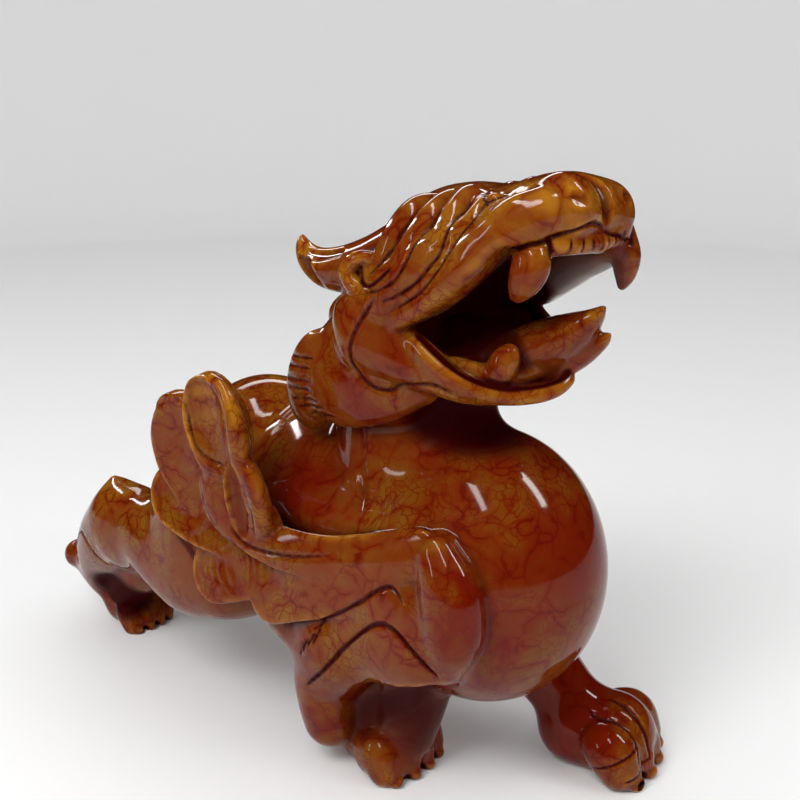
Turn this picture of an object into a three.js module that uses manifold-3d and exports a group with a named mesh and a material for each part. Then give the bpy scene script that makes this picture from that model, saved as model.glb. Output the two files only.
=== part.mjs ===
// A pixiu, the winged beast of Chinese carving: it strides with its head thrown back and its mouth open,
// cut from one block of polished stone. One solid, millimetres, +Z up; it faces +X, its own right is -Y,
// and it stands on four flat soles at Z = 0 with the middle of its outline over the origin.
import * as THREE from "three";
import { mergeVertices } from "three/addons/utils/BufferGeometryUtils.js";
import Module from "manifold-3d";

const wasm = await Module();
wasm.setup();

// Driving dimensions
const HEIGHT = 228; // soles to the top of the nostrils
const SOLE_DEPTH = 2.4; // how much of each paw's round underside is ground away
const TOES = 4; // toes on a paw
const TOE_SPREAD = 0.65; // from one toe's middle to the next, as a share of its paw's radius
const TOE_SWELL = 0.62; // a toe's radius, as a share of its paw's
const FEATHER_FLATNESS = 0.34; // a feather's half thickness, as a share of its half width
const CANINE_LENGTH = 15;
const TOOTH_COUNT = 4; // small teeth behind each canine and between the two
const TOOTH_PITCH = 6.5; // from one small tooth to the next
const GROOVE_DEPTH = 1.6; // the carved lines on legs, jaw, wings and hair
const GROOVE_WIDTH = 3;
const COMB_STROKES = 6; // short strokes down the back edge of each ruff
const COMB_PITCH = 5.5;

// The pose, the proportions and the carving are drawn in parts, counted from the soles to the nostrils' top.
const nostril = { at: [114, -10, 217], half: [10, 9, 11] };
const part = HEIGHT / (nostril.at[2] + nostril.half[2]);

// Solids

// A closed three.js geometry as a manifold solid.
function solid(geometry) {
  const bare = geometry.clone();
  for (const name of Object.keys(bare.attributes)) {
    if (name !== "position") bare.deleteAttribute(name);
  }
  const merged = mergeVertices(bare, 1e-4);
  return new wasm.Manifold(
    new wasm.Mesh({
      numProp: 3,
      vertProperties: new Float32Array(merged.attributes.position.array),
      triVerts: new Uint32Array(merged.index.array),
    }),
  );
}

// The solid's surface as a three.js geometry.
function skin(body) {
  const mesh = body.getMesh();
  const geometry = new THREE.BufferGeometry();
  geometry.setAttribute("position", new THREE.BufferAttribute(mesh.vertProperties, 3));
  geometry.setIndex(new THREE.BufferAttribute(mesh.triVerts, 1));
  return geometry;
}

function join(solids) {
  return solids.reduce((all, one) => all.add(one));
}

// An ellipsoid about a centre, with its half sizes, turned in degrees about X, Y and Z.
function ball(centre, half, turn = [0, 0, 0], around = 16, up = 10) {
  const geometry = new THREE.SphereGeometry(1, around, up);
  geometry.rotateX(Math.PI / 2);
  geometry.scale(half[0] * part, half[1] * part, half[2] * part);
  const [rx, ry, rz] = turn.map((degrees) => (degrees * Math.PI) / 180);
  geometry.rotateX(rx).rotateY(ry).rotateZ(rz);
  geometry.translate(centre[0] * part, centre[1] * part, centre[2] * part);
  return solid(geometry);
}

// A limb: rings along a smooth line through [x, y, z, radius] points, with rounded ends.
// Each ring stands for an ellipse of the same area, ratio times its radius wide along flat.
function limb(points, { flat = [0, 1, 0], ratio = 1, sides = 8, steps = 1, cap = 1, twist = 0.5 } = {}) {
  const fill = Math.sqrt((2 * Math.PI) / (sides * Math.sin((2 * Math.PI) / sides)));
  const line = points.map(([x, y, z]) => new THREE.Vector3(x, y, z).multiplyScalar(part));
  const curve = new THREE.CatmullRomCurve3(line, false, "catmullrom", 0.5);
  const count = (points.length - 1) * steps;
  const across = new THREE.Vector3(...flat).normalize();
  const rings = [];
  for (let i = 0; i <= count; i++) {
    const t = i / count;
    const slot = Math.min(Math.floor(t * (points.length - 1)), points.length - 2);
    const share = t * (points.length - 1) - slot;
    const radius = (points[slot][3] * (1 - share) + points[slot + 1][3] * share) * part;
    rings.push({ at: curve.getPoint(t), along: curve.getTangent(t), radius });
  }
  const rounded = [];
  const first = rings[0];
  const last = rings[count];
  for (let k = cap; k >= 1; k--) {
    const angle = (k / (cap + 1)) * (Math.PI / 2);
    const at = first.at.clone().addScaledVector(first.along, -first.radius * Math.sin(angle));
    rounded.push({ at, along: first.along, radius: first.radius * Math.cos(angle) });
  }
  rounded.push(...rings);
  for (let k = 1; k <= cap; k++) {
    const angle = (k / (cap + 1)) * (Math.PI / 2);
    const at = last.at.clone().addScaledVector(last.along, last.radius * Math.sin(angle));
    rounded.push({ at, along: last.along, radius: last.radius * Math.cos(angle) });
  }
  const vertices = [first.at.clone().addScaledVector(first.along, -first.radius)];
  for (const ring of rounded) {
    const wide = across.clone().addScaledVector(ring.along, -across.dot(ring.along)).normalize();
    const tall = new THREE.Vector3().crossVectors(ring.along, wide);
    for (let s = 0; s < sides; s++) {
      const angle = ((s + twist) / sides) * Math.PI * 2;
      const point = ring.at.clone();
      point.addScaledVector(wide, Math.cos(angle) * ring.radius * fill * ratio);
      point.addScaledVector(tall, Math.sin(angle) * ring.radius * fill);
      vertices.push(point);
    }
  }
  vertices.push(last.at.clone().addScaledVector(last.along, last.radius));
  const faces = [];
  const end = vertices.length - 1;
  const top = end - sides;
  for (let s = 0; s < sides; s++) {
    const next = (s + 1) % sides;
    faces.push(0, 1 + next, 1 + s);
    faces.push(end, top + s, top + next);
    for (let r = 0; r < rounded.length - 1; r++) {
      const a = 1 + r * sides;
      const b = a + sides;
      faces.push(a + s, a + next, b + next, a + s, b + next, b + s);
    }
  }
  const geometry = new THREE.BufferGeometry().setFromPoints(vertices);
  geometry.setIndex(faces);
  return solid(geometry);
}

// The same point list on the other side of the middle plane.
function other(points) {
  return points.map(([x, y, ...rest]) => [x, -y, ...rest]);
}

function pair(points, options = {}) {
  const { flat = [0, 1, 0] } = options;
  const turned = { ...options, flat: [flat[0], -flat[1], flat[2]] };
  return [limb(points, options), limb(other(points), turned)];
}

function ballPair([x, y, z], half, turn = [0, 0, 0], around = 12, up = 8) {
  const turned = [-turn[0], turn[1], -turn[2]];
  return [ball([x, y, z], half, turn, around, up), ball([x, -y, z], half, turned, around, up)];
}

// A slab across the whole figure whose side view is the closed [x, z] outline.
function slab(outline, width) {
  const shape = new THREE.Shape(outline.map(([x, z]) => new THREE.Vector2(x * part, z * part)));
  const geometry = new THREE.ExtrudeGeometry(shape, { depth: width * part, bevelEnabled: false });
  geometry.rotateX(Math.PI / 2).translate(0, (width * part) / 2, 0);
  return solid(geometry);
}

// A carved line: a V-shaped tube along [x, z] points, laid where they meet the side of the body
// that faces -Y (side -1) or +Y (side 1).
function groove(body, line, side, depth = GROOVE_DEPTH, width = GROOVE_WIDTH) {
  const plan = line.map(([x, z]) => new THREE.Vector3(x * part, 0, z * part));
  const curve = new THREE.CatmullRomCurve3(plan, false, "catmullrom", 0.5);
  const count = Math.max(1, Math.round(curve.getLength() / (5 * width)));
  const ray = new THREE.Raycaster();
  const points = [];
  for (const at of curve.getSpacedPoints(count)) {
    ray.set(new THREE.Vector3(at.x, side * HEIGHT, at.z), new THREE.Vector3(0, -side, 0));
    const [hit] = ray.intersectObject(body);
    if (hit) points.push([at.x / part, hit.point.y / part, at.z / part, (0.4 * width) / part]);
  }
  return limb(points, { ratio: (2 * depth) / width, sides: 4, cap: 0, twist: 0 });
}

// Body and neck
function trunk() {
  return [
    ball([75, 0, 86], [45, 44, 52], [0, -8, 0], 20, 12),
    limb(
      [
        [-58, 0, 91, 33],
        [-38, 0, 90, 41],
        [-4, 0, 86, 39],
        [28, 0, 84, 40],
        [60, 0, 86, 42],
      ],
      { sides: 14, ratio: 0.94, cap: 2 },
    ),
    limb(
      [
        [52, 0, 100, 42],
        [45, 0, 122, 35],
        [43, 0, 141, 29],
        [46, 0, 166, 27],
      ],
      { sides: 12 },
    ),
  ];
}

// Haunches, hocks and hind shanks
function hindLegs() {
  return [
    ...ballPair([-40, -32, 70], [37, 22, 28], [0, 22, 0], 12, 7),
    ...pair(
      [
        [-48, -38, 60, 18],
        [-74, -38, 63, 16.5],
        [-94, -36, 66, 16],
      ],
      { ratio: 0.8, sides: 8 },
    ),
    ...pair(
      [
        [-94, -36, 62, 18],
        [-99, -35, 78, 10],
        [-101, -34, 88, 2.5],
      ],
      { ratio: 0.8, sides: 6 },
    ),
    ...pair(
      [
        [-104, -35, 60, 18],
        [-121, -32, 46, 16],
        [-131, -27, 32, 12],
        [-132, -22, 14, 9],
      ],
      { ratio: 0.85, sides: 8 },
    ),
  ];
}

// The near foreleg: a broad shoulder block bent back to the elbow, and the pillar under it
function foreRight() {
  return [
    limb(
      [
        [78, -32, 92, 20],
        [76, -36, 72, 24],
        [58, -39, 66, 20],
        [40, -41, 60, 17],
      ],
      { ratio: 0.62, sides: 12, cap: 2 },
    ),
    limb([
      [87, -38, 100, 10],
      [90, -39, 86, 11],
      [90, -38, 69, 9],
    ]),
    limb(
      [
        [42, -40, 56, 17],
        [34, -39, 36, 13],
        [34, -32, 14, 10],
      ],
      { ratio: 0.8, sides: 10 },
    ),
    limb(
      [
        [62, -18, 60, 18],
        [57, -20, 34, 15],
        [50, -22, 14, 12],
      ],
      { sides: 10 },
    ),
  ];
}

// The far foreleg, set forward in its stride
function foreLeft() {
  return [
    limb(
      [
        [58, 25, 70, 22],
        [78, 29, 42, 15],
        [97, 35, 18, 14],
      ],
      { sides: 10 },
    ),
  ];
}

// A paw: a rounded heel and TOES toes fanned out ahead of it
function paw(heel, toe, size) {
  const from = new THREE.Vector3(heel[0], heel[1], size - SOLE_DEPTH / part);
  const to = new THREE.Vector3(toe[0], toe[1], size * 0.92 - SOLE_DEPTH / part);
  const ahead = to.clone().sub(from).setZ(0);
  const side = new THREE.Vector3(-ahead.y, ahead.x, 0).normalize();
  const middle = from.clone().lerp(to, 0.6);
  const swell = size * TOE_SWELL;
  const low = swell - SOLE_DEPTH / part;
  const solids = [limb([[...from, size], [...middle, size * 1.02]], { sides: 8 })];
  for (let toeNumber = 0; toeNumber < TOES; toeNumber++) {
    const k = toeNumber - (TOES - 1) / 2;
    const root = from.clone().lerp(to, 0.6).addScaledVector(side, k * TOE_SPREAD * size * 0.9);
    const tip = to.clone().addScaledVector(side, k * TOE_SPREAD * size);
    tip.addScaledVector(ahead, -0.05 * k * k);
    solids.push(
      limb(
        [
          [root.x, root.y, size * 0.95, swell],
          [tip.x, tip.y, low, swell * 0.88],
        ],
        { sides: 6 },
      ),
    );
  }
  return solids;
}

function paws() {
  return [
    ...paw([38, -23], [57, -19], 12.5),
    ...paw([97, 35], [115, 38], 15),
    ...paw([-134, -19], [-117, -17], 9.5),
    ...paw([-134, 19], [-117, 17], 9.5),
  ];
}

// The tail: down between the hocks and out behind the right one
function tail() {
  return [
    limb(
      [
        [-72, 0, 90, 16],
        [-96, 0, 76, 15],
        [-118, -4, 54, 13],
        [-134, -14, 34, 12],
        [-146, -25, 26, 10],
        [-154, -31, 28, 8],
      ],
      { sides: 10 },
    ),
  ];
}

// The head thrown back: skull, snout with its nostrils, cheeks, eyes and lower jaw
function skull() {
  return [
    ball([64, 0, 199], [30, 28, 24], [0, -20, 0], 14, 8),
    limb(
      [
        [72, 0, 212, 12],
        [92, 0, 215, 12],
        [112, 0, 216, 11],
      ],
      { ratio: 2, sides: 12, cap: 2 },
    ),
    ...ballPair(nostril.at, nostril.half, [0, 0, 0], 8, 5),
    ...ballPair([86, -17, 219], [9, 6, 6], [0, 20, 0], 7, 4),
    ...pair(
      [
        [50, -30, 170, 14],
        [70, -30, 165, 10],
        [90, -27, 161, 6],
        [103, -19, 160, 4.5],
        [110, -9, 163, 4.5],
        [112, 0, 166, 4.5],
      ],
      { sides: 6 },
    ),
    ball([84, 0, 164], [28, 22, 11], [0, -2, 0], 12, 6),
    ...pair(
      [
        [46, -28, 176, 14],
        [62, -30, 190, 11],
        [80, -29, 203, 9],
        [98, -24, 212, 8],
      ],
      { sides: 8 },
    ),
  ];
}

// The open mouth's side view, from its corner out to the lips
const MOUTH = [
  [68, 175],
  [78, 169],
  [92, 163],
  [104, 161],
  [150, 161],
  [150, 206],
  [108, 206],
  [97, 203],
  [88, 195],
  [78, 185],
];

// What is cut out of the head: the gape, the palate and the throat
function mouth() {
  return [
    slab(MOUTH, 120),
    ball([98, 0, 203], [22, 19, 10], [0, -16, 0], 12, 6),
    ball([78, 0, 180], [22, 19, 15], [0, -40, 0], 12, 6),
  ];
}

// The tongue, the canines above and below, and the small teeth
function insideMouth() {
  const solids = [
    limb(
      [
        [64, 0, 168, 9],
        [90, 0, 168, 10],
        [106, 0, 176, 8],
        [118, 1, 184, 3],
        [121, 2, 188, 0.6],
      ],
      { ratio: 1.7, sides: 10 },
    ),
    ...pair(
      [
        [97, -19, 160, 5],
        [96, -19, 168, 3],
      ],
      { sides: 6, cap: 0 },
    ),
  ];
  const root = 206;
  const canine = CANINE_LENGTH / part;
  solids.push(
    ...pair(
      [
        [106, -25, root, 6.5],
        [107, -26, root - canine * 0.6, 5],
        [107, -25, root - canine, 2],
      ],
      { sides: 8 },
    ),
  );
  for (let tooth = 0; tooth < TOOTH_COUNT; tooth++) {
    const ahead = ((tooth + 0.5) * TOOTH_PITCH) / part;
    const turn = Math.min(ahead / 26, 1);
    const x = 107 + 12 * Math.sin((turn * Math.PI) / 2);
    const y = -24 * Math.cos((turn * Math.PI) / 2);
    solids.push(
      ...pair(
        [
          [x, y, 207, 3.6],
          [x, y, 202, 2],
        ],
        { sides: 5, cap: 0 },
      ),
    );
  }
  return solids;
}

// Ears, locks of hair with their curls, collar and ruff
const ruff = { at: [19, -31, 150], half: [13, 7, 20], lean: 20 };

function hair() {
  return [
    ...pair(
      [
        [74, -16, 212, 9.5],
        [60, -24, 205, 10.5],
        [46, -27, 196, 9.5],
        [30, -27, 191, 8.5],
        [15, -24, 191, 6.5],
        [1, -20, 200, 0.8],
      ],
      { ratio: 0.8 },
    ),
    ...pair(
      [
        [77, -24, 213, 6],
        [70, -32, 204, 7],
        [63, -35, 194, 6.5],
        [54, -36, 188, 5],
        [46, -37, 190, 4.5],
        [44, -37, 195, 3.5],
        [49, -37, 198, 1.5],
      ],
      { sides: 6 },
    ),
    ...pair(
      [
        [84, -24, 213, 5],
        [79, -32, 204, 6],
        [66, -36, 191, 5],
      ],
      { sides: 6 },
    ),
    ...ballPair([42, -22, 158], [26, 17, 21], [0, 20, 0], 12, 7),
    ...ballPair(ruff.at, ruff.half, [0, ruff.lean, 0], 10, 6),
  ];
}

// The wings: an inner row of feathers over an outer row, swept up from the shoulder along the flank
const FEATHERS = [
  [
    [49, -46, 81, 10],
    [34, -49, 77, 11],
    [18, -51, 72, 12],
  ],
  [
    [27, -48, 86, 10],
    [2, -52, 78, 13],
    [-11, -54, 73, 13],
  ],
  [
    [7, -49, 87, 10],
    [-20, -53, 93, 13],
    [-32, -55, 98, 14],
  ],
  [
    [-13, -50, 94, 10],
    [-26, -54, 110, 14],
    [-32, -56, 121, 14.5],
    [-32, -57, 130, 11.5],
  ],
  [
    [74, -44, 96, 9],
    [46, -50, 92, 9],
    [21, -54, 90, 10],
    [1, -57, 95, 12],
    [-7, -58, 104, 12.5],
    [-9, -58, 111, 9],
  ],
  [
    [2, -57, 113, 9],
    [-1, -59, 126, 13],
    [-3, -60, 135, 14],
    [-4, -61, 143, 11],
  ],
  [
    [16, -50, 87, 7],
    [13, -57, 103, 11],
    [13, -60, 117, 9.5],
  ],
];

function wings() {
  const style = { flat: [-0.1, 1, -0.25], ratio: FEATHER_FLATNESS, sides: 6 };
  return FEATHERS.flatMap((feather) => pair(feather, style));
}

// The carved lines: on both sides, or on the near foreleg's block only
const LINES_BOTH = [
  [
    [60, 187],
    [52, 178],
    [49, 166],
    [55, 156],
    [70, 158],
    [88, 158],
  ],
  [
    [-124, 42],
    [-112, 54],
    [-96, 60],
    [-84, 57],
    [-72, 47],
  ],
];
const LINES_NEAR = [
  [
    [37, 63],
    [60, 80],
    [73, 91],
    [81, 86],
  ],
  [
    [33, 40],
    [57, 65],
    [73, 77],
    [82, 76],
    [94, 63],
  ],
];

// Short level strokes down the back half of a ruff
function comb(body, side) {
  const [x, , z] = ruff.at;
  const lean = Math.tan((ruff.lean * Math.PI) / 180);
  const strokes = [];
  for (let stroke = 0; stroke < COMB_STROKES; stroke++) {
    const rise = ((stroke - (COMB_STROKES - 1) / 2) * COMB_PITCH) / part;
    const middleX = x + rise * lean;
    const line = [
      [middleX - ruff.half[0] * 0.6, z + rise - 0.5],
      [middleX + ruff.half[0] * 0.2, z + rise + 0.5],
    ];
    strokes.push(groove(body, line, side, GROOVE_DEPTH, GROOVE_WIDTH * 0.7));
  }
  return strokes;
}

const blank = join([
  ...trunk(),
  ...hindLegs(),
  ...foreRight(),
  ...foreLeft(),
  ...paws(),
  ...tail(),
  ...skull(),
])
  .subtract(join(mouth()))
  .add(join([...insideMouth(), ...hair(), ...wings()]));

const surface = new THREE.Mesh(skin(blank));
const carving = comb(surface, -1);
for (const line of LINES_BOTH) carving.push(groove(surface, line, -1), groove(surface, line, 1));
for (const line of LINES_NEAR) carving.push(groove(surface, line, -1));

// The soles are ground flat on Z = 0
const bench = new THREE.BoxGeometry(4 * HEIGHT, 4 * HEIGHT, HEIGHT).translate(0, 0, -HEIGHT / 2);
const figure = skin(blank.subtract(join(carving)).subtract(solid(bench)));
figure.computeBoundingBox();
const middle = figure.boundingBox.getCenter(new THREE.Vector3());
figure.translate(-middle.x, -middle.y, 0);

const stone = new THREE.MeshStandardMaterial({ color: 0xa5471c, roughness: 0.18, metalness: 0 });
const mesh = new THREE.Mesh(figure, stone);
mesh.name = "pixiu_figure";

const group = new THREE.Group();
group.add(mesh);
export default group;
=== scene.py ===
"""A pixiu carved from one block of crackled stone, dyed, polished and set on a pale studio floor.

The figure is carved as a sculptor would: rounded masses are joined, hollows are taken out, and lines are cut
into the surface. Everything is drawn in millimetres, for a figure 228 mm high that faces +X with its own
right at -Y, and is then set to the height of the solid that it dresses."""

import copy
import math

import bpy
import numpy as np
from mathutils import Matrix, Vector


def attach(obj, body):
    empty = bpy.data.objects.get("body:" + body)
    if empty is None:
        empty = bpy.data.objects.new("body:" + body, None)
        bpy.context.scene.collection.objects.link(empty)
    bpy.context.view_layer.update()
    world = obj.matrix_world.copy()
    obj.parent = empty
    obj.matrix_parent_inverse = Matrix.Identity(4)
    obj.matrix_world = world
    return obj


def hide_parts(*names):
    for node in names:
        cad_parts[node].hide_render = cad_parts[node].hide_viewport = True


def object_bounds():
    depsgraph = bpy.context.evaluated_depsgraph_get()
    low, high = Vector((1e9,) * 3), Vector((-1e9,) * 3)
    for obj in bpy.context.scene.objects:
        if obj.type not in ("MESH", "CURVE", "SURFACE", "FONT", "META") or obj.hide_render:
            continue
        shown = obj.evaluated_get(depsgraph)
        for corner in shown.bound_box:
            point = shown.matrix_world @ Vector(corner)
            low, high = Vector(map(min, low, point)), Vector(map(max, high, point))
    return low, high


bl_info = {
    "name": "Pixiu Figure",
    "version": (1, 0, 0),
    "blender": (4, 2, 0),
    "location": "3D View > Sidebar > Pixiu",
    "description": "Carves a striding pixiu, dyes and polishes its stone, and sets it in a plain studio",
    "category": "Add Mesh",
}

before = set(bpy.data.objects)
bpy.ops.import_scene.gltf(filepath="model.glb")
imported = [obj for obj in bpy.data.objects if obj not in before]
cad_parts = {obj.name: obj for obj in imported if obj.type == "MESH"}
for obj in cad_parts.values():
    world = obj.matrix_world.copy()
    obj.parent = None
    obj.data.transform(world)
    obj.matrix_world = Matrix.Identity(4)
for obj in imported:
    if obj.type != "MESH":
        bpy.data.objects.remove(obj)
CAD_LOW, CAD_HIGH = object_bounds()
DRAWN_HEIGHT = 228.0
DRAWN_MIDDLE = 18.95  # how far behind the drawing's zero the middle of the solid's outline lies


# Sizes and colours that a user would change


class FigureSizes(bpy.types.PropertyGroup):
    height: bpy.props.FloatProperty(
        name="Height",
        description="From the soles to the top of the nostrils",
        default=CAD_HIGH.z - CAD_LOW.z,
        unit="LENGTH",
    )
    grid_step: bpy.props.FloatProperty(
        name="Grid step",
        description="Spacing of the carving grid along the figure and upwards, in drawn millimetres",
        default=0.62,
        min=0.5,
    )
    grid_depth: bpy.props.FloatProperty(
        name="Grid step across",
        description="Spacing of the carving grid from side to side, in drawn millimetres",
        default=0.8,
        min=0.5,
    )
    faces: bpy.props.IntProperty(
        name="Faces",
        description="Triangles kept after the surface is thinned",
        default=192000,
    )


def stone_colour(name, description, default):
    """A colour of the stone that a user may change."""
    return bpy.props.FloatVectorProperty(
        name=name, description=description, subtype="COLOR", default=default
    )


class StoneFinish(bpy.types.PropertyGroup):
    amber: stone_colour("Amber", "The stone's light ground", (0.15, 0.037, 0.005))
    olive: stone_colour("Olive", "Yellower clouds in the ground", (0.165, 0.066, 0.006))
    rust: stone_colour("Rust", "The dyed red-brown clouds", (0.108, 0.0036, 0.0006))
    scarlet: stone_colour("Scarlet", "Red that spreads from the crackle", (0.145, 0.0068, 0.001))
    # Honey also paints the highlights on thin edges and the sheen on the snout and the back
    honey: stone_colour("Honey", "Thin edges and tips that let light through", (0.36, 0.14, 0.009))
    vein: stone_colour("Vein", "Dye in the crackle", (0.07, 0.0025, 0.001))
    # Maroon is the dye in the grooves and also the painted shade in grooves and hollows
    maroon: stone_colour("Maroon", "Dye that gathers in grooves and hollows", (0.027, 0.0007, 0.0008))
    # Painted reflection: the grey of the pale floor, painted inside the far lip
    lip_reflection: stone_colour("Raw stone", "The unpolished inside of the far lip", (0.3, 0.24, 0.22))
    crackle: bpy.props.FloatProperty(
        name="Crackle size", description="Width of a large crackle cell", unit="LENGTH", default=0.0105
    )
    roughness: bpy.props.FloatProperty(
        name="Roughness", description="Roughness of the polished stone", subtype="FACTOR", default=0.09
    )


class StudioSetup(bpy.types.PropertyGroup):
    azimuth: bpy.props.FloatProperty(
        name="Azimuth",
        description="Camera's turn round the figure from its right side",
        subtype="ANGLE",
        default=math.radians(44),
    )
    elevation: bpy.props.FloatProperty(
        name="Elevation", description="Camera's rise above level", subtype="ANGLE", default=math.radians(16)
    )
    distance: bpy.props.FloatProperty(
        name="Distance", description="From the camera to the point it looks at", unit="LENGTH", default=0.52
    )
    lens: bpy.props.FloatProperty(
        name="Lens", description="Focal length over a 36 mm square sensor, in millimetres", default=56.25
    )


# Masses: each tells its distance at points x, y, z, less than zero inside


def turned(degrees):
    """Rotation matrix from turns about x, then y, then z."""
    whole = np.eye(3)
    for axis, angle in enumerate(degrees):
        c, s = np.cos(np.radians(angle)), np.sin(np.radians(angle))
        i, j = [(1, 2), (2, 0), (0, 1)][axis]
        one = np.eye(3)
        one[i, i] = one[j, j] = c
        one[i, j], one[j, i] = -s, s
        whole = one @ whole
    return whole


def smooth_line(points, steps):
    """Catmull-Rom curve through rows of values, with so many steps in each span; two rows stay as they
    are."""
    p = np.asarray(points, float)
    if len(p) < 3:
        return p
    p = np.vstack([2 * p[0] - p[1], p, 2 * p[-1] - p[-2]])
    t = np.linspace(0, 1, steps, endpoint=False)[:, None]
    spans = [
        0.5 * (2 * b + (c - a) * t + (2 * a - 5 * b + 4 * c - d) * t**2 + (3 * b - a - 3 * c + d) * t**3)
        for a, b, c, d in zip(p[:-3], p[1:-2], p[2:-1], p[3:])
    ]
    return np.vstack(spans + [p[-2:-1]])


def nearest(x, y, z, a, d):
    """The nearest points of the straight stretch from a along d: their shares of its length, held to
    0..1, and the way from them to the given points."""
    t = ((x - a[0]) * d[0] + (y - a[1]) * d[1] + (z - a[2]) * d[2]) / (d[:3] @ d[:3] + 1e-9)
    t = np.clip(t, 0, 1)
    return t, x - a[0] - t * d[0], y - a[1] - t * d[1], z - a[2] - t * d[2]


class Ball:
    """An ellipsoid. Distance: k0 (k0 - 1) / k1, with k0 the length of the point over the radii and k1
    that of it over their squares."""

    def __init__(self, centre, radii, turn=(0, 0, 0)):
        self.centre, self.radii = np.array(centre, float), np.array(radii, float)
        self.axes = turned(turn)
        self.box()

    def box(self):
        reach = np.sqrt(((self.axes * self.radii) ** 2).sum(1))
        self.low, self.high = self.centre - reach, self.centre + reach

    def pieces(self):
        return [self]

    def distance(self, x, y, z):
        x, y, z = x - self.centre[0], y - self.centre[1], z - self.centre[2]
        along = [x * self.axes[0, i] + y * self.axes[1, i] + z * self.axes[2, i] for i in range(3)]
        k0 = np.sqrt(sum((q / r) ** 2 for q, r in zip(along, self.radii))) + 1e-6
        k1 = np.sqrt(sum((q / (r * r)) ** 2 for q, r in zip(along, self.radii))) + 1e-9
        return k0 * (k0 - 1) / k1

    def mirrored(self):
        other = Ball(self.centre * (1, -1, 1), self.radii)
        other.axes = (self.axes.T * (1, -1, 1)).T
        other.box()
        return other


class Span:
    """One straight stretch of a limb. Distance: to the nearest point of the middle line, less the radius
    there. Space is stretched along the flat direction, so that the limb's half width that way is ratio times
    the radius."""

    def __init__(self, a, b, flat, ratio):
        self.a, self.b, self.flat, self.ratio = a, b, flat, ratio
        reach = max(a[3], b[3]) * np.sqrt(1 + (ratio**2 - 1) * flat**2)
        self.low, self.high = np.minimum(a, b)[:3] - reach, np.maximum(a, b)[:3] + reach

    def distance(self, x, y, z):
        n, a, b = self.flat, self.a.copy(), self.b.copy()
        stretch = 1 / self.ratio - 1
        lift = (x * n[0] + y * n[1] + z * n[2]) * stretch
        x, y, z = x + lift * n[0], y + lift * n[1], z + lift * n[2]
        a[:3] += (self.a[:3] @ n) * stretch * n
        b[:3] += (self.b[:3] @ n) * stretch * n
        d = b - a
        t, qx, qy, qz = nearest(x, y, z, a, d)
        q = np.sqrt(qx * qx + qy * qy + qz * qz) + 1e-6
        gap = q - (a[3] + t * d[3])
        if self.ratio != 1:
            u = (qx * n[0] + qy * n[1] + qz * n[2]) / q
            gap = gap / np.sqrt(1 + (1 / self.ratio**2 - 1) * u * u)
        return gap


class LeafSpan:
    """One straight stretch of a leaf. Distance: that of a plate with a rounded rim, from the gap to its
    outline in its own plane and the gap to its face; the face sinks by dish times the half thickness in
    the middle."""

    def __init__(self, a, b, flat, ratio, dish, rim):
        along = (b - a)[:3] / (np.linalg.norm((b - a)[:3]) + 1e-9)
        face = flat - (flat @ along) * along
        self.a, self.b, self.face = a, b, face / np.linalg.norm(face)
        self.ratio, self.dish, self.rim = ratio, dish, rim
        reach = max(a[3], b[3])
        self.low, self.high = np.minimum(a, b)[:3] - reach, np.maximum(a, b)[:3] + reach

    def distance(self, x, y, z):
        a, d, n = self.a, self.b - self.a, self.face
        t, qx, qy, qz = nearest(x, y, z, a, d)
        height = qx * n[0] + qy * n[1] + qz * n[2]
        out = np.sqrt(np.maximum(qx * qx + qy * qy + qz * qz - height * height, 0))
        radius = a[3] + t * d[3]
        half = self.ratio * radius * (1 - self.dish * (1 - np.minimum(out / radius, 1) ** 4))
        u, v = out - radius + self.rim, np.abs(height) - half + self.rim
        return np.hypot(np.maximum(u, 0), np.maximum(v, 0)) + np.minimum(np.maximum(u, v), 0) - self.rim


LINE_STEPS = 5  # straight stretches between two given points of a limb
THINNEST = 0.25  # least radius of a limb


class Limb:
    """A tapering tube along a smooth line through (x, y, z, radius) points."""

    def __init__(self, points, flat=(0, 1, 0), ratio=1.0):
        self.line = smooth_line(points, LINE_STEPS)
        self.line[:, 3] = np.maximum(self.line[:, 3], THINNEST)
        self.flat = np.array(flat, float) / np.linalg.norm(flat)
        self.ratio = ratio
        self.box()

    def box(self):
        spans = self.pieces()
        self.low = np.min([s.low for s in spans], axis=0)
        self.high = np.max([s.high for s in spans], axis=0)

    def span(self, a, b):
        return Span(a, b, self.flat, self.ratio)

    def pieces(self):
        return [self.span(a, b) for a, b in zip(self.line[:-1], self.line[1:])]

    def mirrored(self):
        other = copy.copy(self)
        other.line = self.line * (1, -1, 1, 1)
        other.flat = self.flat * (1, -1, 1)
        other.box()
        return other


class Leaf(Limb):
    """A flat leaf along a smooth line, as wide as its radii and ratio times as thick."""

    def __init__(self, points, flat, ratio, dish, rim):
        self.dish, self.rim = dish, rim
        super().__init__(points, flat, ratio)

    def span(self, a, b):
        return LeafSpan(a, b, self.flat, self.ratio, self.dish, self.rim)


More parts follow.
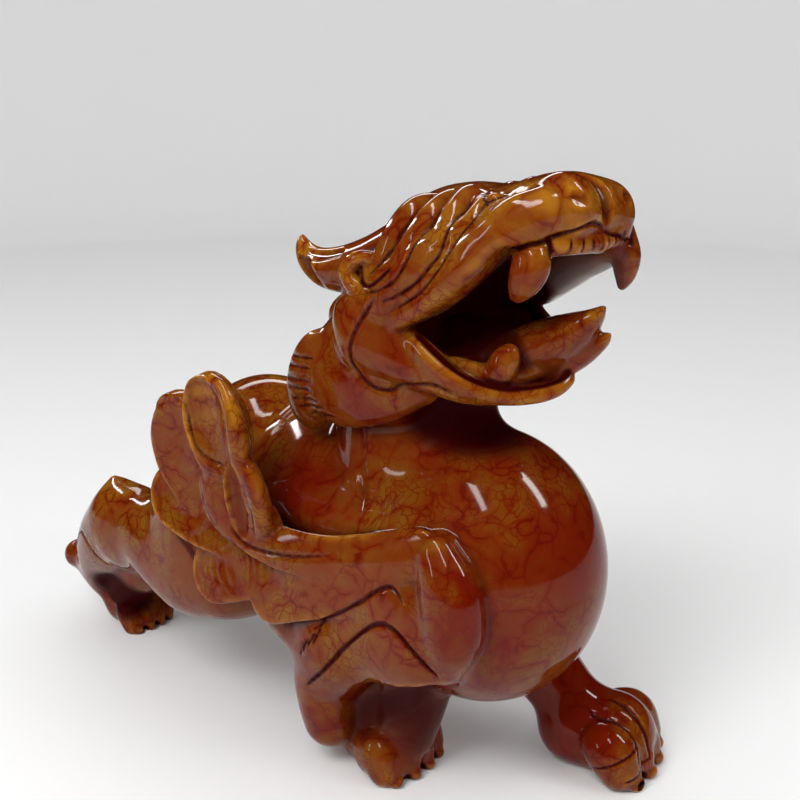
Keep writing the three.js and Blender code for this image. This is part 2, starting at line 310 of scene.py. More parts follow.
class Gape:
    """Everything inside a closed side view of (x, z) corners, between two values of y. Distance: to the
    nearest edge in side view, less than zero inside, or to the flat faces if that is more."""

    def __init__(self, outline, right, left):
        self.outline = np.asarray(outline, float)
        self.middle, self.half = (right + left) / 2, (left - right) / 2
        self.low = np.array([self.outline[:, 0].min(), right, self.outline[:, 1].min()])
        self.high = np.array([self.outline[:, 0].max(), left, self.outline[:, 1].max()])

    def pieces(self):
        return [self]

    def distance(self, x, y, z):
        least, inside = 1e3, False
        for a, b in zip(self.outline, np.roll(self.outline, -1, 0)):
            e = b - a
            t = np.clip(((x - a[0]) * e[0] + (z - a[1]) * e[1]) / (e @ e), 0, 1)
            least = np.minimum(least, np.hypot(x - a[0] - t * e[0], z - a[1] - t * e[1]))
            rise = e[1] if abs(e[1]) > 1e-9 else 1e-9
            inside = inside ^ (((a[1] > z) != (b[1] > z)) & (x < e[0] * (z - a[1]) / rise + a[0]))
        return np.maximum(np.where(inside, -least, least), np.abs(y - self.middle) - self.half)


def pair(shape):
    """The shape and its mirror image on the other side."""
    return [shape, shape.mirrored()]


# The block of stone

FAR_AWAY = 40  # stands for every distance outside a shape's window
MARGIN = 3  # how far past its soft join a shape is still measured
# The dye left by cuts also paints the shade in deep ones
SOAK = 1.6  # how far dye reaches from a face that a cut bares
CUT_STEPS = 8  # straight stretches between two given points of a carved line
CORNERS = [(a, b, c) for a in (0, 1) for b in (0, 1) for c in (0, 1)]


def listed(shapes):
    return shapes if isinstance(shapes, list) else [shapes]


def within(part, cut):
    """Slices of a part of the grid, counted from the start of a cut that holds it."""
    return tuple(slice(p.start - c.start, p.stop - c.start) for p, c in zip(part, cut))


class Block:
    """The stone as a grid of distances to its surface, less than zero inside, and a second grid for the dye
    that gathers along carved lines and for painted shade laid in cuts and deep places."""

    def __init__(self, low, high, steps):
        self.steps = np.array(steps, float)
        self.axes = [np.arange(a, b + h, h, dtype=np.float32) for a, b, h in zip(low, high, steps)]
        size = [len(a) for a in self.axes]
        self.far = np.full(size, FAR_AWAY, np.float32)
        self.dye = np.zeros(size, np.float32)

    def window(self, low, high):
        """Slices of the grid that hold a box, with a step to spare."""
        cut = []
        for axis, a, b in zip(self.axes, low, high):
            i, j = np.searchsorted(axis, (a, b))
            cut.append(slice(max(i - 1, 0), min(j + 1, len(axis))))
        return tuple(cut)

    def points(self, cut):
        return np.meshgrid(*(a[c] for a, c in zip(self.axes, cut)), indexing="ij", sparse=True)

    def measure(self, shape, reach):
        """The shape's distances in a window around it: the least of its pieces'."""
        cut = self.window(shape.low - reach, shape.high + reach)
        best = np.full(self.far[cut].shape, FAR_AWAY, np.float32)
        for piece in shape.pieces():
            part = self.window(piece.low - reach, piece.high + reach)
            inner = within(part, cut)
            best[inner] = np.minimum(best[inner], piece.distance(*self.points(part)))
        return cut, best

    def soak(self, cut, dye):
        self.dye[cut] = np.maximum(self.dye[cut], dye)

    def add(self, shapes, soft):
        """Joins masses to the stone: the lesser distance, less h^2 / (4 soft), where h is what is left of
        soft after the difference of the two."""
        for shape in listed(shapes):
            cut, new = self.measure(shape, soft + MARGIN)
            old = self.far[cut]
            h = np.maximum(soft - np.abs(old - new), 0)
            self.far[cut] = np.minimum(old, new) - h * h / (4 * soft)

    def take(self, shapes, soft, dye=0.0):
        """Takes masses out of the stone in the same way, and leaves dye, partly painted shade, on what they
        bare.
        """
        for shape in listed(shapes):
            cut, new = self.measure(shape, soft + MARGIN)
            old = self.far[cut]
            h = np.maximum(soft - np.abs(old + new), 0)
            self.far[cut] = np.maximum(old, -new) + h * h / (4 * soft)
            if dye:
                self.soak(cut, dye * np.clip(1 - new / SOAK, 0, 1))

    def stain_and_shade(self, shapes, dye, fade):
        """Paints shade: leaves dye within shapes, thinning out over the given distance around them."""
        for shape in listed(shapes):
            cut, new = self.measure(shape, fade)
            self.soak(cut, dye * np.clip(1 - new / fade, 0, 1))

    def polish(self):
        """Rounds every edge by about a grid step: each distance becomes a quarter, a half and a quarter
        of its row's neighbours and itself, along each axis in turn."""
        for axis in range(3):
            f = np.moveaxis(self.far, axis, 0)
            f[1:-1] = 0.25 * f[:-2] + 0.5 * f[1:-1] + 0.25 * f[2:]

    def value(self, grid, p):
        """Values of a grid at points: each is the mean of the eight around it, weighted by nearness."""
        index, share = [], []
        for axis in range(3):
            s = (p[:, axis] - self.axes[axis][0]) / self.steps[axis]
            i = np.clip(s.astype(int), 0, len(self.axes[axis]) - 2)
            index.append(i)
            share.append(np.clip(s - i, 0, 1))
        total = 0
        for corner in CORNERS:
            u, v, w = (q if o else 1 - q for q, o in zip(share, corner))
            total = total + u * v * w * grid[tuple(i + o for i, o in zip(index, corner))]
        return total

    def slope(self, p):
        """Gradient of the distance at points, from differences a step to either side."""
        parts = []
        for axis in range(3):
            ahead = np.zeros(3)
            ahead[axis] = self.steps[axis]
            gap = self.value(self.far, p + ahead) - self.value(self.far, p - ahead)
            parts.append(gap / (2 * self.steps[axis]))
        return np.stack(parts, 1)

    def settle(self, p, rounds=3, most=1.0):
        """Moves points onto the surface by Newton's steps along the gradient, each no longer than most."""
        for _ in range(rounds):
            g = self.slope(p)
            gap = np.clip(self.value(self.far, p), -most, most)
            p = p - g * (gap / np.maximum((g * g).sum(1), 0.1))[:, None]
        return p

    def carve(self, line, width=1.4, depth=1.6, dye=1.0, ends=(0.25, 0.25)):
        """Cuts a line: the surface sinks by depth times the square of 1 - (q / width)^2, with q the
        distance to the line. The line is laid onto the surface first. Over the given shares of its length
        it thins out, to 0.15 of its depth and about half its width. The dye, which in deep lines also paints
        their shade, is full in the middle half of the cut and fades out at its edge."""
        p = self.settle(smooth_line(line, CUT_STEPS), rounds=8, most=2.0)
        length = np.concatenate([[0], np.cumsum(np.linalg.norm(np.diff(p, axis=0), axis=1))])
        s = length / length[-1]
        thin = np.clip(s / ends[0], 0, 1) * np.clip((1 - s) / ends[1], 0, 1)
        thin = 0.15 + 0.85 * thin * (2 - thin)
        reach = 1.6 * width
        cut = self.window(p.min(0) - reach, p.max(0) + reach)
        sink, stain_and_shade = np.zeros((2, *self.far[cut].shape), np.float32)
        for a, b, u, v in zip(p[:-1], p[1:], thin[:-1], thin[1:]):
            part = self.window(np.minimum(a, b) - reach, np.maximum(a, b) + reach)
            inner = within(part, cut)
            t, qx, qy, qz = nearest(*self.points(part), a, b - a)
            q = np.sqrt(qx * qx + qy * qy + qz * qz)
            k = u + t * (v - u)
            share = np.clip(1 - (q / (width * (0.45 + 0.55 * k))) ** 2, 0, 1)
            sink[inner] = np.maximum(sink[inner], k * share * share)
            halo = np.clip(1.95 - 2.0 * q / (width * (0.35 + 0.65 * k)), 0, 1)
            stain_and_shade[inner] = np.maximum(stain_and_shade[inner], np.minimum(k * 1.5, 1) * halo)
        self.far[cut] += depth * sink
        self.soak(cut, dye * stain_and_shade)

    def carve_pair(self, line, **how):
        """The same cut on both sides of the figure."""
        self.carve(line, **how)
        self.carve([(x, -y, z) for x, y, z in line], **how)

    def surface(self):
        """Corners and four-sided faces where the distance crosses zero: one corner in each crossed cell,
        at the mean of the crossings on its edges, and one face across each crossed grid edge."""
        f = self.far
        nx, ny, nz = f.shape
        inside = f < 0
        total = np.zeros((nx - 1, ny - 1, nz - 1), np.int8)
        for a, b, c in CORNERS:
            total += inside[a : nx - 1 + a, b : ny - 1 + b, c : nz - 1 + c]
        active = (total > 0) & (total < 8)
        cells = np.argwhere(active)
        index = np.full(active.shape, -1, np.int32)
        index[tuple(cells.T)] = np.arange(len(cells))
        at = {o: f[cells[:, 0] + o[0], cells[:, 1] + o[1], cells[:, 2] + o[2]] for o in CORNERS}
        place, count = np.zeros((len(cells), 3)), np.zeros(len(cells))
        for o in CORNERS:
            for axis in range(3):
                if o[axis]:
                    continue
                end = tuple(1 if k == axis else o[k] for k in range(3))
                cross = (at[o] < 0) != (at[end] < 0)
                step = np.where(cross, at[o] / np.where(cross, at[o] - at[end], 1), 0)
                for k in range(3):
                    place[:, k] += cross * (o[k] + (step if k == axis else 0))
                count += cross
        low = np.array([a[0] for a in self.axes])
        corners_at = low + self.steps * (cells + place / count[:, None])
        faces = []
        for axis in range(3):
            u, v = (axis + 1) % 3, (axis + 2) % 3
            near, next_one = [slice(1, -1)] * 3, [slice(1, -1)] * 3
            near[axis], next_one[axis] = slice(0, -1), slice(1, None)
            a, b = inside[tuple(near)], inside[tuple(next_one)]
            for flip, mask in ((False, a & ~b), (True, ~a & b)):
                edge = np.argwhere(mask)
                edge[:, u] += 1
                edge[:, v] += 1
                ring = []
                for du, dv in ((0, 0), (-1, 0), (-1, -1), (0, -1)):
                    cell = edge.copy()
                    cell[:, u] += du
                    cell[:, v] += dv
                    ring.append(index[tuple(cell.T)])
                ring = np.stack(ring, 1)
                faces.append(ring[:, ::-1] if flip else ring)
        return corners_at, np.vstack(faces)


# Body, legs and paws


def trunk(stone):
    """Chest, belly, rump, neck and flanks."""
    stone.add(Ball((75, 0, 85), (45, 44, 51), (0, -6, 0)), 1)
    stone.add(Ball((12, 0, 84), (60, 38, 40)), 8)
    stone.add(Ball((-46, 0, 88), (38, 38, 45)), 12)
    neck = [(49, 0, 96, 36), (44, 0, 119, 31.5), (42, 0, 141, 28.5), (46, 0, 166, 26)]
    stone.add(Limb(neck), 8)
    flank = [(-8, -28, 100, 10), (10, -31, 101, 12), (30, -33, 99, 12), (50, -33, 100, 11), (72, -34, 104, 9)]
    stone.add(pair(Limb(flank)), 10)
    stone.add(Ball((8, 0, 99), (46, 35.5, 34)), 8)


def hind_legs(stone):
    """Thighs with a pointed hock, and shanks that come down to the paws."""
    stone.add(pair(Ball((-40, -32, 70), (37, 22, 28), (0, 22, 0))), 8)
    thigh = [(-48, -38, 60, 18), (-74, -38, 62, 17), (-94, -36, 65, 16)]
    stone.add(pair(Limb(thigh, ratio=0.8)), 7)
    knee = [(-78, -38, 62, 16), (-56, -39, 54, 18), (-34, -39, 58, 17)]
    stone.add(pair(Limb(knee, ratio=0.75)), 6)
    hock = [(-96, -36, 60, 18), (-106, -35.5, 71, 10), (-112, -35, 79, 2.5)]
    stone.add(pair(Limb(hock, ratio=0.8)), 5)
    shank = [
        (-107, -36, 60, 18), (-121, -34, 49, 16), (-135, -31, 36, 12.5), (-141, -27, 22, 9),
        (-139, -22, 13, 7.5),
    ]
    stone.add(pair(Limb(shank, ratio=0.8)), 6)
    shin = [(-94, -26, 44, 11), (-110, -26, 32, 11), (-124, -24, 20, 9.5)]
    stone.add(pair(Limb(shin)), 4)


def near_foreleg(stone):
    """The bent near leg: a broad thigh, an elbow behind it, and a shin that stands back under it."""
    thigh = [(78, -32, 92, 20), (76, -36, 73, 24), (58, -39, 66, 20), (40, -41, 60, 17)]
    stone.add(Limb(thigh, ratio=0.62), 4)
    elbow = [(40, -38, 54, 13), (25, -39, 55, 12), (13, -40, 58, 10)]
    stone.add(Limb(elbow), 3)
    front = [(88, -40, 103, 8), (94, -40.5, 92, 11), (95, -40, 78, 11), (92, -39, 66, 7)]
    stone.add(Limb(front, ratio=0.9), 2.5)
    calf = [(40, -40, 54, 17), (31, -39, 38, 13.5), (30.5, -38.5, 27, 12.3), (31, -38, 19, 11)]
    stone.add(Limb(calf, ratio=0.85), 5)
    shin = [(60, -19, 62, 19), (59, -19.5, 38, 14), (55, -20.5, 18, 12)]
    stone.add(Limb(shin), 4)
    ankle = [(44, -25, 50, 12), (42, -25, 30, 10), (41, -25, 14, 9)]
    stone.add(Limb(ankle), 4)


def recess(stone):
    """The hollow under the near thigh, behind which the shin stands back."""
    hollow = [
        (47, -42, 23, 5.5), (50, -42, 28, 7.5), (58, -41, 34, 9.5), (73, -40, 43, 9.5), (88, -39, 50.5, 8),
    ]
    # The dye left on this cut paints the shade under the overhanging thigh
    stone.take(Limb(hollow), 1, 0.3)


def far_foreleg(stone):
    stone.add(Limb([(58, 25, 70, 22), (75.5, 27.5, 42, 15), (95, 33, 20, 12)]), 6)


SOLE = 2.4  # how deep each paw is set, so that its rounded sole is ground flat
TOE_GAP = 0.66  # from one toe to the next, as a share of the paw's size


def paw(stone, heel, toe, size):
    """A rounded heel and four toes, each a short limb from the instep over a knuckle to the ground, with
    a claw. Heel and toe are (x, y), and every other measure is a share of the paw's size."""
    heel, toe = np.array(heel, float), np.array(toe, float)
    back, front = np.array([*heel, size - SOLE]), np.array([*toe, 0.9 * size - SOLE])
    ahead = np.array([*(toe - heel), 0])
    ahead /= np.linalg.norm(ahead)
    side = np.array([-ahead[1], ahead[0], 0])
    stone.add(Limb([(*back, size), (*(0.4 * back + 0.6 * front), 1.02 * size)]), 5)
    swell = 0.62 * size
    for k in (-1.5, -0.5, 0.5, 1.5):
        root = 0.42 * back + 0.58 * front + side * k * 0.56 * size
        tip = front + side * k * TOE_GAP * size - ahead * size * 0.075 * k * k
        knuckle = (root + tip) / 2
        line = [
            (root[0], root[1], 0.95 * size, 0.9 * swell),
            (knuckle[0], knuckle[1], 1.35 * swell, 1.02 * swell),
            (tip[0], tip[1], swell - SOLE, 0.84 * swell),
        ]
        stone.add(Limb(line), 0.9)
        claw = tip + ahead * 0.6 * swell
        stone.add(Ball((claw[0], claw[1], 0.3 * swell), (0.42 * swell, 0.36 * swell, 0.34 * swell)), 1)
    for k in (-1, 0, 1):
        gap = front + side * k * TOE_GAP * size + ahead * size * (0.3 - 0.06 * k * k)
        stone.take(Ball((gap[0], gap[1], 0), (0.3 * size, 0.14 * size, 0.3 * size)), 1.5, 0.95)


def paws(stone):
    paw(stone, (38, -22), (57, -20), 13)
    outer_toe = [(46, -27.5, 10.5, 9), (50, -28.5, 9.5, 11), (54, -27, 7.5, 9.5)]
    stone.add(Limb(outer_toe), 1)
    paw(stone, (96, 33.5), (118, 41.5), 15.8)
    for side in (-1, 1):
        paw(stone, (-134, 19 * side), (-117, 17 * side), 9.5)


def tail(stone):
    """The root of the tail, and the tail as it comes down and round to lie by the near hind leg."""
    line = [
        (-72, 0, 90, 16), (-96, 0, 76, 15), (-118, -4, 54, 13), (-134, -14, 34, 11), (-148, -24, 28, 8.5),
        (-157, -29, 29, 7),
    ]
    stone.add(Limb(line), 8)


# Head

# Side views (x, z) of the open mouth: its floor, and its roof on the near and on the far side
GAPE_FLOOR = [(66, 176), (74, 171), (84, 166.5), (92, 162.5), (104, 160.5), (150, 160.5)]
NEAR_ROOF = [(150, 208), (107, 208), (103, 205), (101, 201), (97, 196), (91, 190.5), (84, 186), (76, 181.5)]
FAR_ROOF = [(150, 206), (116, 206), (114, 198), (107, 194), (97, 189.5), (85, 181.5), (76, 176.5)]


def skull(stone):
    """Brow, muzzle with two nostrils, cheeks and lower jaw, turned a little towards the near side."""
    stone.add(Ball((63, 0, 197), (30, 26, 24.5), (0, -20, 0)), 6)
    muzzle = [(72, 0, 209, 12), (90, 0, 213, 11.5), (104, 0, 217, 11.5), (111, 0, 216.5, 11)]
    stone.add(Limb(muzzle, ratio=2.0), 5)
    cheek = [(46, -28, 176, 14), (62, -30, 190, 11), (80, -29, 203, 9), (98, -24, 212, 8)]
    stone.add(pair(Limb(cheek)), 4)
    stone.add(Ball((113, -11.5, 219), (10.5, 10, 11)), 4)
    stone.add(Ball((111.5, 13.5, 214), (10, 9, 10.5)), 4)
    far_cheek = [(72, 29, 182, 8), (86, 28, 190, 8), (98, 26, 197, 8), (108, 22, 203, 7)]
    stone.add(Limb(far_cheek), 3)
    near_jaw = [
        (50, -30, 170, 14), (70, -30, 165, 9), (87, -28, 160, 6), (97, -20, 158.5, 5), (102.5, -9, 160, 4.6),
        (103, 0, 162, 4.4),
    ]
    far_jaw = [
        (50, 30, 170, 14), (68, 28, 167, 9), (80, 23, 165, 6), (90, 17, 164.5, 5), (97, 9, 164, 4.4),
        (101, 0, 163, 4.4),
    ]
    stone.add([Limb(near_jaw), Limb(far_jaw)], 4)
    stone.add(Ball((80, -3, 162), (25, 21, 10), (0, -2, 0)), 4)
    throat = [(20, -31, 151, 11), (35, -33, 150, 14), (52, -32, 153, 12.5), (68, -27, 157, 8)]
    stone.add(pair(Limb(throat, ratio=0.55)), 3)


def mouth(stone):
    """The mouth is taken out first; tongue, lips, gum and teeth are then set into it."""
    stone.take(Gape(GAPE_FLOOR + NEAR_ROOF, -60, 0), 3)
    stone.take(Gape(GAPE_FLOOR + FAR_ROOF, 0, 60), 3)
    stone.take(Ball((98, 0, 203), (20, 19, 11), (0, -16, 0)), 3)
    stone.take(Ball((77, 0, 180), (22, 21, 15), (0, -40, 0)), 3)
    # Painted shade: dark dye deep inside the open mouth
    deep = [Ball((70, 0, 177), (22, 28, 16), (0, -30, 0)), Ball((90, -14, 196), (15, 15, 12), (0, -30, 0))]
    stone.stain_and_shade(deep, 1, 7)
    tongue = [(64, 0, 167, 9), (90, 0, 167, 10), (106, 0, 174, 8), (116, 1.5, 181.5, 3.6), (120, 3, 186, 0.9)]
    stone.add(Limb(tongue, ratio=1.7), 3)
    lip = [(68, -33, 173, 4), (77, -34, 169.5, 4), (86, -33, 164, 3.4), (93, -29, 159.8, 3)]
    lip += [(100.5, -22, 157.4, 2.9), (107, -13, 157.6, 2.9), (109.6, -6, 159, 2.8), (109.8, -1, 161, 2.6)]
    far_lip = [
        (68, 32, 174, 3.6), (78, 28, 170, 3.4), (88, 21, 168, 3), (96, 13, 166.5, 2.8), (101, 5, 164, 2.8),
        (103.5, -2, 161.5, 2.6),
    ]
    stone.add([Limb(lip), Limb(far_lip)], 1.5)
    gum = [
        (82, -26, 164.5, 4), (91, -23, 163.5, 4), (98, -17, 163.5, 3.8), (102, -9, 164.5, 3.4),
        (103, 0, 166, 3.2),
    ]
    stone.add(Limb(gum), 0.8)
    slit = [(73, -34, 175.5, 0.6), (80, -34.5, 171.6, 0.8), (87, -32.7, 166.8, 1), (93, -29, 163.4, 1.1)]
    slit += [
        (100.8, -22.5, 161.1, 1.1), (107, -13.8, 161.4, 1), (110.1, -6.5, 162.4, 0.9),
        (110.8, -2, 163.7, 0.6),
    ]
    stone.take(Limb(slit), 0.5, 0.9)
    # Painted shade inside the jaw, behind the near gum
    stone.stain_and_shade(Ball((91, -14, 168), (12, 8, 8)), 0.6, 4)
    for side in (-1, 1):
        canine = [(96, 20 * side, 163.5, 5.4), (98, 19.6 * side, 168, 5.2), (99.5, 19.3 * side, 171, 3.6)]
        stone.add(Limb(canine), 0.4)
    front_lip = [(102, 0, 162, 4.5), (110, 4, 167.5, 4), (116, 7, 173, 2.8), (119, 8, 176, 1)]
    stone.add(Limb(front_lip, ratio=1.6), 2)
    arch = [
        (104, -23, 208, 4.2), (110.5, -21.5, 208, 4), (115.5, -16.5, 208.3, 3.8), (118, -9, 208, 3.6),
        (118.5, 0, 207.6, 3.6),
    ]
    stone.add(pair(Limb(arch)), 1.5)
    near_fang = [
        (110, -22.5, 206.5, 5.4), (111.5, -24.5, 202, 6.2), (110, -25.5, 197, 5.2),
        (107.5, -25.5, 192.5, 2.8),
    ]
    stone.add(Limb(near_fang), 0.8)
    far_fang = [(111, 22, 207, 6), (114, 23, 200, 5.2), (114, 23.5, 194, 3.8), (113, 23.5, 189.5, 1.8)]
    stone.add(Limb(far_fang), 1.2)


# Locks of hair behind the brow, from back to front, each from the crown down to the cheek
LOCKS = [
    [
        (63, -6, 214, 4), (62, -14, 213.8, 5.8), (61, -21, 212.5, 6.6), (59.5, -26, 207, 6.9),
        (58, -30, 200.5, 6.4), (56, -32.5, 194, 4.8),
    ],
    [
        (71, -8, 216.5, 3.5), (71.5, -16, 217, 5), (72, -24, 213.5, 5.8), (70, -29, 206.5, 6),
        (66, -32, 199, 5.6), (61, -34, 191.5, 4.6), (51, -33.5, 187, 3.2),
    ],
    [
        (80, -10, 219.5, 3.5), (80.5, -18, 219, 5), (82, -26, 213.5, 5.4), (81, -31, 205.5, 5.4),
        (77, -34, 197.5, 5), (67, -35, 190.5, 4), (55, -34, 186, 2.6),
    ],
    [
        (89, -12, 218, 3.5), (91, -20, 218, 4.6), (91, -27, 212.5, 5), (88.5, -32, 204.5, 4.8),
        (83, -34.5, 197, 4.4), (74, -35.5, 190, 3.6), (61, -35, 184.5, 2.6),
    ],
    [
        (97, -14, 217, 6), (99, -22, 215, 7), (97, -29, 208, 7.4), (93, -32.5, 201.5, 7), (86, -34, 194, 6),
        (77, -34.5, 187, 5), (64, -34.5, 180.5, 4),
    ],
]
# Middle, half sizes and backward lean of the near ruff under the jaw, and its number of strokes
RUFF = {"middle": (19, -31, 150), "half": (13, 7, 20), "lean": 20, "strokes": 7}


def hair(stone):
    """Long ears that lie back with a curled tip, the locks, the band in front of them, hooks, and the
    eyes."""
    ear = [(74, -14, 210, 9), (60, -21, 204, 9.5), (46, -24.5, 196, 9.5), (32, -25.5, 191.5, 8.6)]
    ear += [(18, -24, 190, 7.2), (7, -21.5, 192, 5), (1.5, -20, 196, 2.8), (0.5, -19.5, 199.5, 0.8)]
    stone.add(Limb(ear), 3)
    far_ear = [
        (74, 14, 210, 9), (60, 21, 203, 9), (46, 24, 194, 9), (32, 25, 188, 8), (20, 24, 186, 6),
        (10, 22, 188, 4), (5, 20, 192.5, 0.8),
    ]
    stone.add(Limb(far_ear), 3)
    ear_hollow = [
        (2.5, -22.5, 199, 1.4), (7, -25.3, 196.6, 2.6), (13, -27.9, 196.5, 3.5), (22, -30.4, 197.4, 3.5),
        (33, -31.8, 199.2, 2.4),
    ]
    stone.take(Limb(ear_hollow), 1.0)
    under_ear = [(5.5, -25.5, 192.5, 1), (10.5, -27.5, 190, 3), (15.5, -29.5, 188, 3.8), (21, -31, 185, 2.4)]
    stone.take(Limb(under_ear), 1.2, 0.45)
    for lock in LOCKS:
        stone.add(pair(Limb(lock)), 0.6)
    band = [
        (112, -20, 218, 8), (106, -25, 214, 9), (100, -29, 207.5, 8.4), (94, -32, 200.5, 7.6),
        (86, -33, 192.5, 7), (77, -32.5, 185, 7), (66, -31, 177, 8),
    ]
    stone.add(Limb(band), 1.5)
    far_band = [
        (104, 18, 211, 7.5), (100, 24, 208, 8), (95, 28, 203, 8), (90, 31, 197, 7.6), (84, 33, 190.5, 7),
        (76, 32.5, 184, 7), (66, 31, 177, 8),
    ]
    stone.add(Limb(far_band), 1.5)
    hook = [
        (67, -33.5, 189.5, 3.4), (61, -35, 188, 3.6), (53, -36.5, 187.5, 3.4), (46.5, -37, 189, 3.4),
        (43.5, -37, 193.5, 3.4), (46, -36.5, 197.6, 3), (51, -35.5, 199, 2.4), (56, -34, 198.5, 1.6),
    ]
    stone.add(pair(Limb(hook)), 1.0)
    stone.add(pair(Ball((54, -33.8, 193.5), (7, 4, 4.5))), 0.8)
    stone.add(pair(Ball((47.2, -33.6, 195.2), (3.2, 2.4, 3.8))), 0.8)
    stone.add(pair(Ball((87, -17, 217.5), (8.5, 6.5, 5), (0, 15, 0))), 1.2)
    stone.add(pair(Ball((95, -22.5, 220), (4.2, 3, 3))), 0.6)


def nape(stone):
    """The comb of hair behind the ears, the folds where the head meets the neck, and the ruffs."""
    comb = [(31, -2, 186, 6), (20, -6, 178, 5.5), (10, -8, 171, 5), (6, -8, 166, 3)]
    stone.add(Limb(comb), 2)
    stone.add(pair(Ball((42, -22, 158), (26, 17, 20), (0, 20, 0))), 3)
    stone.add(pair(Ball(RUFF["middle"], RUFF["half"], (0, RUFF["lean"], 0))), 2)


def face_lines(stone):
    """Lines between the locks, round the hooks, jaw, lips and nostrils, and between the teeth."""
    both = stone.carve_pair
    for a, b in zip(LOCKS[:-1], LOCKS[1:]):
        a, b = (smooth_line([p[:3] for p in lock], 6) for lock in (a, b))
        share = np.linspace(0.12, 1, 9)
        valley = [(a[int(t * (len(a) - 1))] + b[int(t * (len(b) - 1))]) / 2 - (0, 3, 0) for t in share]
        both(valley, width=0.95, depth=1.1, ends=(0.3, 0.3))
    hook = [(48.5, -37, 196), (50.5, -38.5, 191.8), (56, -40, 190.3), (61, -38, 192.5), (66.5, -39, 198)]
    both(hook, width=1.3, depth=1.3)
    jaw = [
        (60, -37, 188), (53, -40, 178), (50, -41, 169), (50, -40, 161), (55, -38, 156), (62, -37, 155),
        (72, -37, 158), (82, -36, 160.5), (90, -32, 157),
    ]
    both(jaw, width=1.15, depth=1.7, ends=(0.2, 0.2))
    for x, z in ((107.5, 165.5), (111, 168), (114.3, 171)):
        stone.carve([(x, -4, z - 2), (x, -4, z + 3)], width=0.8, depth=0.9, ends=(0.2, 0.2))
    near_lip = [
        (107, -28, 209.5), (112.5, -24.5, 210.6), (119, -17.6, 212), (122.5, -12.2, 213.8),
        (123, -7.3, 214.2), (123, 0, 211.8),
    ]
    stone.carve(near_lip, width=1.2, depth=1.6, ends=(0.1, 0.02))
    far_lip = [(123, 0, 211.8), (122, 7, 209.2), (119, 13, 207.4), (115, 20, 206.5)]
    stone.carve(far_lip, width=1.2, depth=1.6, ends=(0.02, 0.2))
    for y, x in ((1.8, 123), (6.2, 122.6), (10.8, 121.6), (15.5, 119.5)):
        both([(x, -y, 204), (x + 0.3, -y, 207.5), (x, -y, 211)], width=0.75, depth=0.9, ends=(0.1, 0.5))
    corner = [(117.5, -20.5, 204), (116.5, -21.5, 208), (115.5, -22.5, 212)]
    both(corner, width=1.4, depth=1.4, ends=(0.02, 0.6))
    # The dye in this valley paints its shade
    between_nostrils = [(112, 0.5, 230), (120, 0.5, 226), (124, 0.5, 220), (124.5, 0.5, 213)]
    stone.carve(between_nostrils, width=4, depth=3, dye=0.5)
    eyelid = [(88, -18, 224), (90, -21.5, 222), (95, -25, 218.5), (99, -22, 221), (97, -19.5, 223.5)]
    both(eyelid, width=0.8, depth=0.9)
    nostril = [(121, -17, 224), (122.5, -15, 222.5), (122.5, -12.5, 222)]
    both(nostril, width=2.6, depth=1.6, dye=0.35, ends=(0.3, 0.3))


def ruff_lines(stone):
    """Short level strokes across the back half of each ruff, evenly spaced between two curves that follow its
    edge."""
    outer = [(9.5, -33, 159), (9, -33, 152), (11, -34, 146), (16, -36, 140.5), (24, -37, 136.5)]
    inner = [(26, -37, 161), (27, -38, 154), (29, -38, 148), (34, -39, 143.5), (41, -39, 140.5)]
    outer, inner = smooth_line(outer, 6), smooth_line(inner, 6)
    for k in range(RUFF["strokes"]):
        i = round((len(outer) - 1) * (k + 0.3) / RUFF["strokes"])
        a, b = outer[i], inner[i]
        stone.carve_pair([a, 0.5 * (a + b) - (0, 1, 0), b], width=0.8, depth=1.1, ends=(0.02, 0.3))


# Wings

FEATHER_FACE = (-0.1, 1, -0.25)  # the direction across the feathers' flat faces, on the near side
BAND_RATIO = 0.36  # thickness of the band feather over its width
# Each flat feather's line, its thickness over its width, its dish and its rim
LEAVES = {
    "root": ([(49, -46, 81, 10), (34, -49, 77, 11), (18, -51, 72, 12)], 0.36, 0.0, 2.2),
    "lowest": ([(27, -48, 86, 10), (2, -52, 78, 13), (-11, -54, 73, 13)], 0.33, 0.17, 1.2),
    "middle": ([(7, -49, 87, 10), (-20, -53, 93, 13), (-32, -55, 98, 14)], 0.31, 0.2, 1.1),
    "outer_tip": (
        [(-12, -50, 94, 10), (-24, -54, 110, 14), (-29, -56, 121, 14), (-29, -57, 130, 11.5)],
        0.3, 0.35, 1.0,
    ),
    "inner_tip": (
        [(2, -57, 111, 9), (-1, -59, 126, 12.5), (-3, -60, 136, 13.5), (-4, -61, 143, 11)],
        0.36, 0.6, 1.4,
    ),
    "narrow": (
        [(15, -50, 90, 7), (13, -57, 103, 9.5), (12, -60, 114, 8.5), (11, -61, 121, 6)],
        0.42, 0.2, 1.8,
    ),
}
BAND = [
    (82, -43, 103, 9), (64, -47, 97.5, 9), (44, -50.5, 92.5, 8.6), (22, -54, 92, 8.2), (6, -57, 97, 9),
    (-3, -58.5, 104, 9.6), (-6, -59.5, 111, 8),
]
FEATHER_RIMS = [
    [
        (-1, -62.5, 153, 1.6), (6, -63.5, 150.5, 2.4), (11.5, -64, 143, 3.2), (13.5, -63.5, 134, 4),
        (12.5, -62, 126, 3.8), (10, -60.5, 120, 2.6),
    ],
    [(11, -61, 126, 2.4), (17, -61, 120, 3.4), (20, -59.5, 110, 3.8), (18, -57, 99, 3.4), (13, -55, 92, 2)],
]


